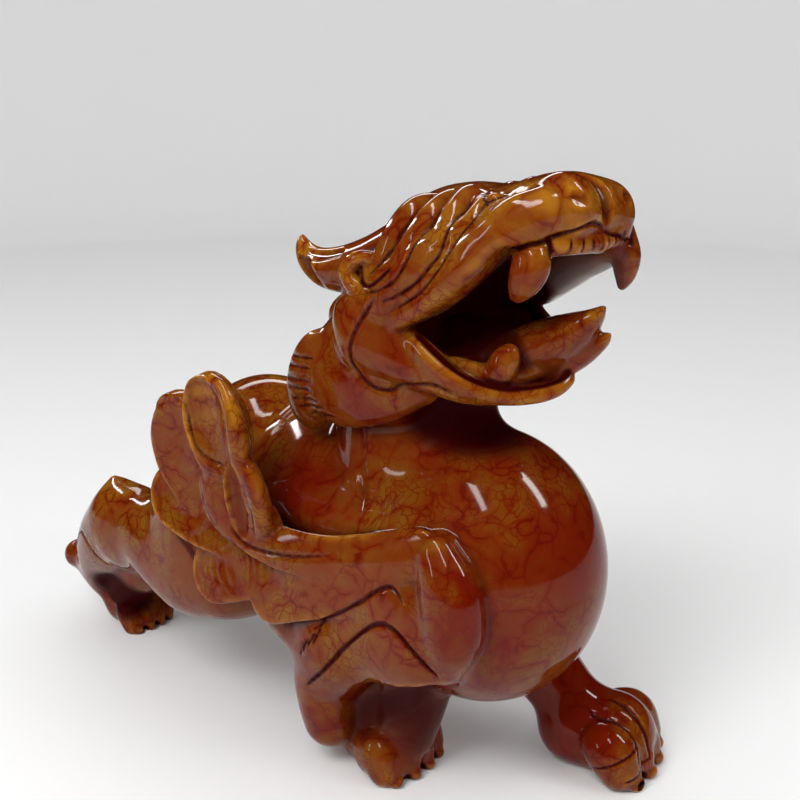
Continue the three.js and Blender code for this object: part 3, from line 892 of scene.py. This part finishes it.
def wings(stone):
    """Folded wings of overlapping feathers; the far wing's band tapers at its front end."""
    for points, ratio, dish, rim in LEAVES.values():
        stone.add(pair(Leaf(points, FEATHER_FACE, ratio, dish, rim)), 0.5)
    shoulder = [(30, -49.5, 85, 8), (46, -48.5, 85, 10), (64, -46, 89, 11)]
    stone.add(pair(Limb(shoulder, FEATHER_FACE, 0.42)), 6)
    for points in FEATHER_RIMS:
        stone.add(pair(Limb(points)), 1.2)
    tapered = Limb([(91, -37, 105, 1.5), (80, -43.2, 101.5, 5.5), *BAND[1:]], FEATHER_FACE, BAND_RATIO)
    stone.add([Limb(BAND, FEATHER_FACE, BAND_RATIO), tapered.mirrored()], 1.0)
    narrow_dish = [(8, -63.2, 124, 2.4), (9.5, -63.2, 116, 4.2), (10, -62, 106, 4.4), (9.5, -60, 96, 2.4)]
    stone.take(pair(Limb(narrow_dish, FEATHER_FACE, 0.75)), 0.8)
    top_dish = [
        (-5, -66, 149.5, 4), (-4.5, -66, 142, 9), (-4, -65, 133, 9.6), (-2, -64, 125, 7.5),
        (1, -62.5, 118, 3),
    ]
    stone.take(pair(Limb(top_dish, FEATHER_FACE, 0.36)), 0.6)
    shelf = [
        (20, -46, 105.5, 1.5), (32, -48, 109, 4.6), (47, -48, 113.5, 7), (60, -46.5, 116, 5),
        (72, -45, 118, 3.6), (83, -43, 119.5, 2.4),
    ]
    stone.take(pair(Limb(shelf)), 0.8)


# Lines on the body


def body_lines(stone):
    """Lines on the wings, the chest, the thighs, the hocks and the far paw."""
    wing = [(4, -61, 97.5), (8, -61, 93), (15, -60, 90.5), (28, -58, 91), (42, -54, 94), (52, -51, 97)]
    stone.carve_pair(wing, width=1.15, depth=2.2, ends=(0.1, 0.6))
    # The dye along this edge paints the shadow that the upper feather casts
    overlap = [
        (-14.5, -65, 142), (-13.7, -65, 138.7), (-12.3, -64.5, 130.4), (-9.2, -64, 124), (-3.9, -62.5, 121),
        (1.8, -61, 120),
    ]
    stone.carve_pair(overlap, width=1, depth=1.2, dye=0.7, ends=(0.05, 0.1))
    under = [
        (-12.5, -63, 112), (-11.5, -63.5, 105.5), (-8, -63.5, 99), (-2, -63, 92.5), (6, -61, 88),
        (14, -58, 84.5), (24, -55, 82),
    ]
    stone.carve_pair(under, width=1, depth=1.2, dye=0.7, ends=(0.1, 0.4))
    # Painted shade: faint dye in the crease where the chest meets the flank
    crease = [(41, -31, 141), (41, -31, 131), (43.5, -33, 121), (49, -37.5, 113), (53, -41, 109)]
    stone.carve_pair(crease, width=4, depth=0.9, dye=0.22, ends=(0.4, 0.3))
    fold = [(8, -50, 130), (15.6, -50, 121), (22, -48, 110)]
    stone.carve_pair(fold, width=2.4, depth=2.2, dye=0.6)
    top = [(37, -53, 63), (50, -52, 73), (62, -51, 82), (73, -47, 90), (81, -49, 86)]
    stone.carve(top, width=1.25, depth=1.7, ends=(0.3, 0.2))
    bend = [
        (32, -50, 38), (45, -50, 52), (57, -51, 65), (68, -51, 75), (76, -51, 77), (84, -49, 72),
        (95, -47, 60),
    ]
    stone.carve(bend, width=1.4, depth=1.8, ends=(0.08, 0.08))
    for k in range(4):
        x, z = 35 + 2.6 * k, 58.5 + 2.6 * k
        stone.carve([(x, -53, z), (x - 1.2, -53, z - 3), (x - 2.6, -53, z - 7)], width=0.9, depth=1)
    hock = [
        (-143, -38, 38), (-134, -42, 46), (-125, -45, 54), (-117, -47, 52), (-110, -48, 43), (-104, -47, 33),
    ]
    stone.carve_pair(hock, width=1.0, depth=1.2, ends=(0.1, 0.5))
    for k in range(5):
        x, z = -131 + 3 * k, 62 + 3 * k
        stone.carve_pair([(x, -38, z), (x + 1.5, -41, z - 5)], width=0.7, depth=0.6, ends=(0.02, 0.5))
    for k in range(7):
        x = -66 + 4 * k
        stone.carve_pair([(x, -42, 36), (x + 2, -45, 41)], width=0.7, depth=0.6, ends=(0.02, 0.5))
    stone.carve([(108, 34, 31), (119, 36, 24), (126, 37, 15), (127, 36, 7)], width=1.1, depth=1.2)
    stone.carve([(105, 26, 26), (115, 27, 19), (122, 26, 9)], width=1.1, depth=1.2)
    stone.carve([(112, 20, 9), (121, 22, 13), (126, 32, 18)], width=0.8, depth=0.8)
    stone.carve([(122, 24, 7), (127, 30, 9), (129, 37, 11)], width=0.8, depth=0.8)


def shades(stone):
    """Painted shade: dye laid where shade falls, along the foot of the wings, in the recess under the near
    thigh, in the folds behind the wings, under the hind legs and under the jaw.
    """
    foot = [(-45.5, -53, 86, 1), (-41, -53.5, 80, 1), (-35, -53.5, 76, 1), (-29, -53.5, 71, 1)]
    foot += [(-26, -52, 64, 1), (-21, -49.5, 56, 1)]
    stone.stain_and_shade(pair(Limb(foot)), 0.5, 2.6)
    stone.stain_and_shade(Limb([(47, -36, 22, 3), (50, -33, 28, 4), (58, -32, 33, 4), (73, -31, 43, 4)]), 0.52, 9)
    stone.stain_and_shade(pair(Ball((12, -48, 114), (5, 4, 14), (0, -30, 0))), 0.3, 6)
    stone.stain_and_shade(pair(Ball((-117, -30, 22), (16, 14, 11))), 0.7, 8)
    stone.stain_and_shade(Ball((74, -6, 143), (20, 22, 9)), 0.7, 10)


BLOCK_LOW, BLOCK_HIGH = (-168, -69, -2.25), (129, 69, 233)  # corners a little outside the figure


def carve_figure(step, depth):
    """The whole figure as a block of distances, its soles ground flat at z = 0."""
    stone = Block(BLOCK_LOW, BLOCK_HIGH, (step, depth, step))
    for work in (trunk, hind_legs, near_foreleg, recess, far_foreleg, paws, tail, skull, hair, nape, mouth):
        work(stone)
    stone.polish()
    for work in (wings, face_lines, ruff_lines, body_lines, shades):
        work(stone)
    height = stone.axes[2][None, None, :]
    stone.far = np.maximum(stone.far, -height)
    return stone


def blurred(grid, reach, steps):
    """A grid averaged over a box of half width reach, by differences of running sums along each axis."""
    out = grid
    for axis in range(3):
        n = max(1, int(round(reach / steps[axis])))
        rows = np.moveaxis(out, axis, 0)
        padded = np.concatenate([rows[:1].repeat(n + 1, 0), rows, rows[-1:].repeat(n, 0)])
        sums = np.cumsum(padded, axis=0, dtype=np.float64)
        mean = (sums[2 * n + 1 :] - sums[: -2 * n - 1]) / (2 * n + 1)
        out = np.moveaxis(mean.astype(np.float32), 0, axis)
    return out


# Spots where a tone is stronger: place, reach and strength. The first list is the redder dye; its spots on
# the near front lobe and under the jaw are painted shade.
FLUSHES = [
    ((14, -38, 112), 26, 0.95),
    ((14, 38, 112), 26, 0.95),
    ((112, -2, 100), 30, 1.0),
    ((98, -38, 86), 20, 0.85),
    ((82, -30, 116), 16, 0.6),
    ((92, 32, 28), 36, 0.95),
    ((56, -20, 14), 22, 0.6),
    ((-128, -22, 18), 26, 0.8),
    ((-128, 22, 18), 26, 0.8),
    ((72, 0, 138), 26, 0.8),
    ((0, 0, 36), 30, 0.7),
    ((-30, 0, 120), 18, 0.4),
    ((62, -26, 204), 16, 0.4),
    ((58, -32, 168), 18, 0.35),
    ((58, 22, 204), 16, 0.35),
]

# Honey, where the stone takes little dye; the spots on the snout and the back are painted sheen
PALES = [
    ((112, -16, 222), 20, 1.0),
    ((84, -24, 214), 18, 0.6),
    ((-34, 0, 130), 22, 1.0),
    ((-6, -62, 150), 14, 0.8),
    ((-6, 62, 150), 14, 0.8),
    ((-108, -34, 78), 16, 0.8),
    ((-108, 34, 78), 16, 0.8),
    ((6, -20, 198), 10, 0.8),
    ((46, -37, 191), 7, 1.0),
]

# Painted grey reflection inside the far lip: its spots, and the y at which it ends towards the cheek,
# after a fade so wide
LIP_REFLECTION = [((91, 24, 186.5), 7, 1.0), ((99, 23, 191), 7.5, 1.0), ((107, 21, 195), 6, 0.9)]
LIP_REFLECTION_EDGE, LIP_REFLECTION_FADE = 29, 4
# Hollows that stay clear of painted shade (the far lip, which also stays clear of dye, and the tongue), and
# spots of the darkest painted shade, in the recess
FAR_LIP = ((96, 23, 189), 17, 0.95)
CLEAR = [FAR_LIP, ((94, 6, 172), 14, 0.5)]
DARK = [
    ((67, -25, 31), 12, 0.85),
    ((65, -25, 18), 8, 0.55),
    ((48, -36, 25), 7, 0.7),
    ((57, -31, 32), 9, 0.8),
]


def spread(spots, p):
    """Share of a tone at points: 1 less the product of 1 - strength x exp(-(distance / reach)^2) over the
    spots."""
    left = np.ones(len(p))
    for place, reach, strength in spots:
        left *= 1 - strength * np.exp(-((p - place) ** 2).sum(1) / reach**2)
    return 1 - left


def tones(stone, p):
    """Tones in 0..1 at points: dye and painted shade in grooves, painted shade in hollows, painted highlight
    on thin edges, redness (the redder dye, with some painted shade), paleness (the stone's paler honey,
    with some painted sheen), and the painted grey reflection inside the far lip. Grooves, hollows and
    edges come from the share of stone within 1.4, 3.2 and 11 mm, a half on a flat face."""
    solid = np.clip(0.5 - stone.far / (2 * stone.steps.min()), 0, 1)
    tight, near, wide = (stone.value(blurred(solid, reach, stone.steps), p) for reach in (1.4, 3.2, 11))
    # Besides the dye, narrow creases get painted shade from the share of stone close round them
    groove = np.maximum(stone.value(stone.dye, p), 0.85 * np.clip((tight - 0.56) * 7, 0, 1))
    # Painted shade in hollows, from the share of stone nearby
    hollow = np.clip((near - 0.54) * 5, 0, 1) * 0.6 + np.clip((wide - 0.57) * 4, 0, 1) * 0.7
    # Painted highlight: thin edges and rims turn honey
    edge = np.clip((0.45 - near) * 5, 0, 1) + np.clip((0.455 - tight) * 9, 0, 1)
    return {
        "groove": np.clip(groove, 0, 1) * (1 - 0.8 * spread([FAR_LIP], p)),
        "hollow": np.maximum(np.clip(hollow, 0, 1) * (1 - spread(CLEAR, p)), spread(DARK, p)),
        "edge": np.clip(edge, 0, 1),
        "flush": spread(FLUSHES, p),
        "pale": spread(PALES, p),
        "lip_reflection": spread(LIP_REFLECTION, p) * np.clip((LIP_REFLECTION_EDGE - p[:, 1]) / LIP_REFLECTION_FADE, 0, 1),
    }


def plain_mesh(name, corners, faces):
    """A mesh from rows of corners and rows of as many corner numbers for each face."""
    mesh = bpy.data.meshes.new(name)
    count, sides = faces.shape
    mesh.vertices.add(len(corners))
    mesh.vertices.foreach_set("co", np.ascontiguousarray(corners, np.float32).ravel())
    mesh.loops.add(count * sides)
    mesh.loops.foreach_set("vertex_index", np.ascontiguousarray(faces, np.int32).ravel())
    mesh.polygons.add(count)
    mesh.polygons.foreach_set("loop_start", np.arange(0, count * sides, sides, dtype=np.int32))
    mesh.update(calc_edges=True)
    mesh.validate()
    return mesh


DETAIL_LEVELS = 4  # steps of the weight that keeps triangles along carved lines
KEEP_FACTOR = 0.02  # how strongly that weight holds triangles back from the thinning


def thinned(figure, detail, ratio):
    """The object's mesh with the given share of its faces, thinned least where detail is near 1."""
    plain = figure.vertex_groups.new(name="plain")
    for level in range(DETAIL_LEVELS + 1):
        some = np.flatnonzero(np.round(detail * DETAIL_LEVELS) == level)
        plain.add(some.tolist(), 1 - 0.2 * level, "REPLACE")
    thin = figure.modifiers.new("thin", "DECIMATE")
    thin.vertex_group, thin.vertex_group_factor = plain.name, KEEP_FACTOR
    thin.ratio = ratio
    thin.use_collapse_triangulate = True
    bpy.context.view_layer.update()
    graph = bpy.context.evaluated_depsgraph_get()
    mesh = bpy.data.meshes.new_from_object(figure.evaluated_get(graph))
    figure.modifiers.clear()
    figure.vertex_groups.clear()
    mesh.validate()
    return mesh


class PIXIU_OT_figure(bpy.types.Operator):
    """Carve the figure and lay its polished surface over the solid"""

    bl_idname = "pixiu.figure"
    bl_label = "Carve the figure"

    def execute(self, context):
        sizes = context.scene.pixiu_sizes
        stone = carve_figure(sizes.grid_step, sizes.grid_depth)
        corners, faces = stone.surface()
        corners = stone.settle(corners)
        rough = plain_mesh("rough_figure", corners, faces)
        figure = bpy.data.objects.new("figure", rough)
        context.scene.collection.objects.link(figure)
        detail = np.clip(stone.value(stone.dye, corners) * 1.5, 0, 1)
        mesh = thinned(figure, detail, min(1.0, sizes.faces / (2 * len(faces))))
        figure.data = mesh
        bpy.data.meshes.remove(rough)
        mesh.name = "figure"
        p = np.empty(3 * len(mesh.vertices))
        mesh.vertices.foreach_get("co", p)
        p = stone.settle(p.reshape(-1, 3), rounds=2, most=0.3)
        p[:, 2] = np.maximum(p[:, 2], 0)
        normal = stone.slope(p)
        normal /= np.linalg.norm(normal, axis=1, keepdims=True)
        for name, tone in tones(stone, p).items():
            layer = mesh.attributes.new(name, "FLOAT", "POINT")
            layer.data.foreach_set("value", tone.astype(np.float32))
        placed = (p + (DRAWN_MIDDLE, 0, 0)) * (sizes.height / DRAWN_HEIGHT)
        mesh.vertices.foreach_set("co", placed.astype(np.float32).ravel())
        mesh.polygons.foreach_set("use_smooth", np.ones(len(mesh.polygons), bool))
        mesh.update()
        mesh.normals_split_custom_set_from_vertices(normal.astype(np.float32))
        mesh.materials.append(stone_material(context.scene.pixiu_stone))
        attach(figure, "root")
        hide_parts("pixiu_figure")
        return {"FINISHED"}


# Materials


class Wire:
    """A socket that takes part in plain arithmetic: each operation on it adds a Math node."""

    def __init__(self, maker, socket):
        self.maker, self.socket = maker, socket

    def math(self, operation, *values, clamp=False):
        return self.maker.node("Math", {"operation": operation, "use_clamp": clamp}, *values)

    def __add__(self, other):
        return self.math("ADD", self, other)

    def __sub__(self, other):
        return self.math("SUBTRACT", self, other)

    def __rsub__(self, other):
        return self.math("SUBTRACT", other, self)

    def __mul__(self, other):
        return self.math("MULTIPLY", self, other)

    def at_least(self, other):
        return self.math("MAXIMUM", self, other)

    def clipped(self):
        """The value held to 0..1."""
        return self.math("ADD", self, 0.0, clamp=True)

    __radd__ = __add__
    __rmul__ = __mul__


class Maker:
    """Adds nodes to one material."""

    def __init__(self, name):
        self.material = bpy.data.materials.new(name)
        self.material.use_nodes = True
        self.tree = self.material.node_tree
        self.tree.nodes.clear()

    def node(self, kind, settings, *inputs, out=0, numbered=None, **named):
        """A node of a kind: its settings first, then the values or links of its sockets, given in order, by
        number or by name. Returns one of its outputs."""
        made = self.tree.nodes.new("ShaderNode" + kind)
        for key, value in settings.items():
            setattr(made, key, value)
        names = {key.replace("_", " "): value for key, value in named.items()}
        for key, value in {**dict(enumerate(inputs)), **(numbered or {}), **names}.items():
            socket = made.inputs[key]
            if isinstance(value, Wire):
                self.tree.links.new(value.socket, socket)
            else:
                socket.default_value = (*value[:3], 1) if socket.type == "RGBA" else value
        return Wire(self, made.outputs[out]) if made.outputs else None

    def blend(self, share, a, b):
        """Colour a, going over to b as share goes from 0 to 1. The colours' sockets go by number, because
        other sockets of the node have the same names."""
        return self.node("Mix", {"data_type": "RGBA"}, share, out=2, numbered={6: a, 7: b})

    def smooth(self, value, low, high):
        """0 below low, 1 above high, and a smooth step between."""
        return self.node("MapRange", {"interpolation_type": "SMOOTHSTEP"}, value, low, high, 0.0, 1.0)

    def finished(self, shader):
        """Joins a shader to the material's surface."""
        self.node("OutputMaterial", {}, Surface=shader)
        return self.material


def stone_material(finish):
    """Dyed crackled stone under a high polish: clouds of amber, olive and rust, a net of red veins that comes
    and goes, maroon dye in the grooves, and painted light: maroon shade in grooves and hollows, honey
    highlights at thin edges and a grey reflection inside the far lip. Noise scales count waves in a metre."""
    m = Maker("crackled_stone")
    place = m.node("TexCoord", {}, out="Object")
    tone = {}
    for name in ("groove", "hollow", "edge", "flush", "pale", "lip_reflection"):
        tone[name] = m.node("Attribute", {"attribute_name": name}, out="Fac")

    def noise(scale, detail, at=place, **more):
        return m.node("TexNoise", {}, Vector=at, Scale=scale, Detail=detail, **more)

    def bent(at, scale, reach):
        """The point moved by up to half of reach, by a coloured noise."""
        push = noise(scale, 1.0, at, out="Color")
        push = m.node("VectorMath", {"operation": "SUBTRACT"}, push, (0.5, 0.5, 0.5))
        push = m.node("VectorMath", {"operation": "SCALE"}, push, Scale=reach)
        return m.node("VectorMath", {"operation": "ADD"}, at, push)

    def crackle(at, scale):
        """Distance to the nearest wall between cells, as a share of a cell."""
        return m.node("TexVoronoi", {"feature": "DISTANCE_TO_EDGE"}, Vector=at, Scale=scale)

    tight = bent(bent(place, 70.0, 0.016), 320.0, 0.0022)
    cells = 1 / finish.crackle
    wide, fine = crackle(tight, cells), crackle(tight, 2.7 * cells)
    cloud = noise(15.0, 4.0, Roughness=0.62, Distortion=0.8)
    patch = noise(46.0, 3.0, tight)
    fade = noise(85.0, 2.0)
    grain = noise(420.0, 3.0, tight)
    large = (1 - m.smooth(wide, 0.0, 0.06)) * m.smooth(fade, 0.36, 0.62)
    glow = (1 - m.smooth(wide, 0.0, 0.32)) * m.smooth(fade, 0.25, 0.65)
    small = (1 - m.smooth(fine, 0.0, 0.1)) * m.smooth(patch, 0.42, 0.62)
    redness = (m.smooth(cloud, 0.48, 0.66) * 0.8 + tone["flush"] * m.smooth(cloud, 0.05, 0.36)).clipped()
    pale = tone["edge"] * (1 - tone["groove"]) * 0.9 + tone["pale"] * m.smooth(patch, 0.25, 0.55) * 0.75
    line = m.smooth(tone["groove"], 0.18, 0.8)
    colour = m.blend(m.smooth(patch, 0.4, 0.62), finish.amber, finish.olive)
    # Honey over thin edges is painted highlight, with painted sheen on the snout and the back; maroon over
    # hollows and part of the grooves is painted shade; the grey inside the far lip is a painted reflection
    for share, over in (
        (pale, finish.honey),
        (glow * 0.7, finish.scarlet),
        (redness * 0.9, finish.rust),
        (m.smooth(grain, 0.45, 0.7) * 0.3, finish.scarlet),
        (small * 0.7, finish.rust),
        (large * 0.65, finish.vein),
        (tone["hollow"] * 0.85, finish.maroon),
        (tone["lip_reflection"] * 0.85, finish.lip_reflection),
        (line * 0.96, finish.maroon),
    ):
        colour = m.blend(share.clipped(), colour, over)
    dull = (line + tone["hollow"] * 0.3 + tone["lip_reflection"]).clipped()
    polished = m.node(
        "BsdfPrincipled",
        {},
        Base_Color=colour,
        Roughness=dull * 0.35 + finish.roughness,
        IOR=1.5,
        Specular_IOR_Level=0.145,
        Coat_Weight=0.04,
        Coat_Roughness=0.04,
    )
    matte = m.node("BsdfPrincipled", {}, Base_Color=finish.maroon, Roughness=0.7, Specular_IOR_Level=0.0)
    # Grooves and hollows go over to a dull maroon that reflects nothing, as painted shade, except in the
    # painted grey reflection inside the far lip
    unlit = (line * 0.93).at_least(tone["hollow"] * 0.65 * (1 - tone["lip_reflection"]))
    return m.finished(m.node("MixShader", {}, unlit, polished, matte))


def plain_material(name, colour, roughness):
    m = Maker(name)
    return m.finished(m.node("BsdfPrincipled", {}, Base_Color=colour, Roughness=roughness))


# Studio, in metres


def soft_light(name, start, end, width, power):
    """A flat soft light that stretches from start to end, both counted from the point that it lights."""
    lamp = bpy.data.lights.new(name, "AREA")
    lamp.shape, lamp.size, lamp.size_y, lamp.energy = "RECTANGLE", width, (end - start).length, power
    out = ((start + end) / 2).normalized()
    along = (end - start).normalized()
    across = along.cross(out).normalized()
    holder = bpy.data.objects.new(name, lamp)
    holder.matrix_world = Matrix((across, out.cross(across), out)).transposed().to_4x4()
    holder.location = Vector(LIGHT_AIM) + (start + end) / 2
    bpy.context.scene.collection.objects.link(holder)
    return holder


# Each paper's inner and outer radius, the radius of its bend, its height and its grey
PAPERS = {"floor": (0.0, 1.3, 0.0, 0.0, 0.87), "backdrop": (1.3, 1.3, 0.9, 2.6, 0.88)}
PAPER_SIDES = 96


def sweep_mesh(name, inner, flat, bend, top):
    """Paper on the floor that turns up into a round wall: a profile from radius inner out to flat, up a
    quarter circle of radius bend and on to the height top, carried round a circle."""
    turn = np.linspace(0, np.pi / 2, 13) if bend else np.zeros(1)
    radius = np.concatenate([[max(inner, 0.001)], flat + bend * np.sin(turn), [flat + bend] * (top > 0)])
    height = np.concatenate([[0], bend * (1 - np.cos(turn)), [top] * (top > 0)])
    angle = np.arange(PAPER_SIDES) * 2 * np.pi / PAPER_SIDES
    level = np.outer(height, np.ones(PAPER_SIDES))
    ring = np.stack([np.outer(radius, np.cos(angle)), np.outer(radius, np.sin(angle)), level], 2)
    i, j = np.meshgrid(np.arange(len(radius) - 1), np.arange(PAPER_SIDES), indexing="ij")
    low, high, k = i * PAPER_SIDES, (i + 1) * PAPER_SIDES, (j + 1) % PAPER_SIDES
    quads = np.stack([high + j, high + k, low + k, low + j], 2).reshape(-1, 4)
    mesh = bpy.data.meshes.new(name)
    mesh.from_pydata(ring.reshape(-1, 3).tolist(), [], quads.tolist())
    mesh.polygons.foreach_set("use_smooth", np.ones(len(mesh.polygons), bool))
    mesh.update()
    return mesh


LOOK_AT = (DRAWN_MIDDLE, 33, 125)  # where the camera looks, in drawn millimetres
LIGHT_AIM = (0.11, -0.02, 0.12)
SKY = 0.82  # strength of the even white light all round
# Name, directions to its two ends as shares to the right, to the front and up, metres away, width, watts,
# and whether it is seen in reflections alone
WINDOWS = [
    ("window_left", (-0.36, -0.32, 0.87), (-0.07, 0.6, 0.8), 1.2, 0.1, 9.5, True),
    ("window_behind", (-0.52, -0.82, 0.3), (-0.7, -0.5, 0.52), 1.2, 0.06, 2.2, True),
    ("window_right", (0.44, -0.12, 0.89), (0.78, 0.16, 0.6), 1.2, 0.13, 8.0, True),
    ("window_side", (-0.95, 0.1, 0.62), (-0.9, 0.35, 0.2), 1.2, 0.08, 2.0, True),
    ("window_back", (-0.5, -0.8, 0.6), (0.1, -0.9, 0.5), 1.4, 0.2, 4.0, True),
    ("soft_key", (-0.5, 0.45, 0.9), (-0.35, 0.75, 0.6), 1.2, 0.7, 10.0, False),
    ("soft_fill", (0.9, 0.3, 0.5), (0.75, 0.5, 0.3), 1.3, 0.6, 3.0, False),
]


class PIXIU_OT_studio(bpy.types.Operator):
    """Set up the pale floor, the soft lights and the camera"""

    bl_idname = "pixiu.studio"
    bl_label = "Set up the studio"

    def execute(self, context):
        setup = context.scene.pixiu_studio
        size = context.scene.pixiu_sizes.height / DRAWN_HEIGHT
        a, e = setup.azimuth, setup.elevation
        back = Vector((math.sin(a) * math.cos(e), -math.cos(a) * math.cos(e), math.sin(e)))
        camera = bpy.data.cameras.new("camera")
        camera.sensor_width = camera.sensor_height = 36
        camera.sensor_fit = "HORIZONTAL"
        camera.lens = setup.lens
        camera.clip_start, camera.clip_end = 0.01, 20
        holder = bpy.data.objects.new("camera", camera)
        holder.location = Vector(LOOK_AT) * size + back * setup.distance
        holder.rotation_euler = (-back).to_track_quat("-Z", "Y").to_euler()
        context.scene.collection.objects.link(holder)
        context.scene.camera = holder
        for name, (*profile, grey) in PAPERS.items():
            mesh = sweep_mesh(name, *profile)
            mesh.materials.append(plain_material("pale_" + name, (grey,) * 3, 0.7))
            paper = bpy.data.objects.new(name, mesh)
            paper.visible_glossy = name == "floor"
            context.scene.collection.objects.link(paper)
        right = Vector((math.cos(a), math.sin(a), 0))
        forward = Vector((back.x, back.y, 0)).normalized()
        turn = Matrix((right, forward, (0, 0, 1))).transposed()
        for name, start, end, distance, width, power, gloss_only in WINDOWS:
            start, end = (turn @ Vector(d).normalized() * distance for d in (start, end))
            light = soft_light(name, start, end, width, power)
            light.visible_diffuse = not gloss_only
            light.visible_glossy = gloss_only
        world = bpy.data.worlds.new("studio")
        context.scene.world = world
        world.cycles_visibility.glossy = False
        world.use_nodes = True
        sky = world.node_tree.nodes["Background"]
        sky.inputs["Color"].default_value = (1, 1, 1, 1)
        sky.inputs["Strength"].default_value = SKY
        context.scene.view_settings.view_transform = "Standard"
        return {"FINISHED"}


class PIXIU_PT_panel(bpy.types.Panel):
    bl_label = "Pixiu"
    bl_idname = "PIXIU_PT_panel"
    bl_space_type = "VIEW_3D"
    bl_region_type = "UI"
    bl_category = "Pixiu"

    def draw(self, context):
        for group in (context.scene.pixiu_sizes, context.scene.pixiu_stone, context.scene.pixiu_studio):
            box = self.layout.box()
            for name in group.__annotations__:
                box.prop(group, name)
        self.layout.operator(PIXIU_OT_figure.bl_idname)
        self.layout.operator(PIXIU_OT_studio.bl_idname)


CLASSES = (FigureSizes, StoneFinish, StudioSetup, PIXIU_OT_figure, PIXIU_OT_studio, PIXIU_PT_panel)


def register():
    for one in CLASSES:
        bpy.utils.register_class(one)
    bpy.types.Scene.pixiu_sizes = bpy.props.PointerProperty(type=FigureSizes)
    bpy.types.Scene.pixiu_stone = bpy.props.PointerProperty(type=StoneFinish)
    bpy.types.Scene.pixiu_studio = bpy.props.PointerProperty(type=StudioSetup)


def unregister():
    for name in ("pixiu_studio", "pixiu_stone", "pixiu_sizes"):
        delattr(bpy.types.Scene, name)
    for one in reversed(CLASSES):
        bpy.utils.unregister_class(one)


def main():
    register()
    bpy.ops.pixiu.figure()
    bpy.ops.pixiu.studio()


if __name__ == "__main__":
    main()
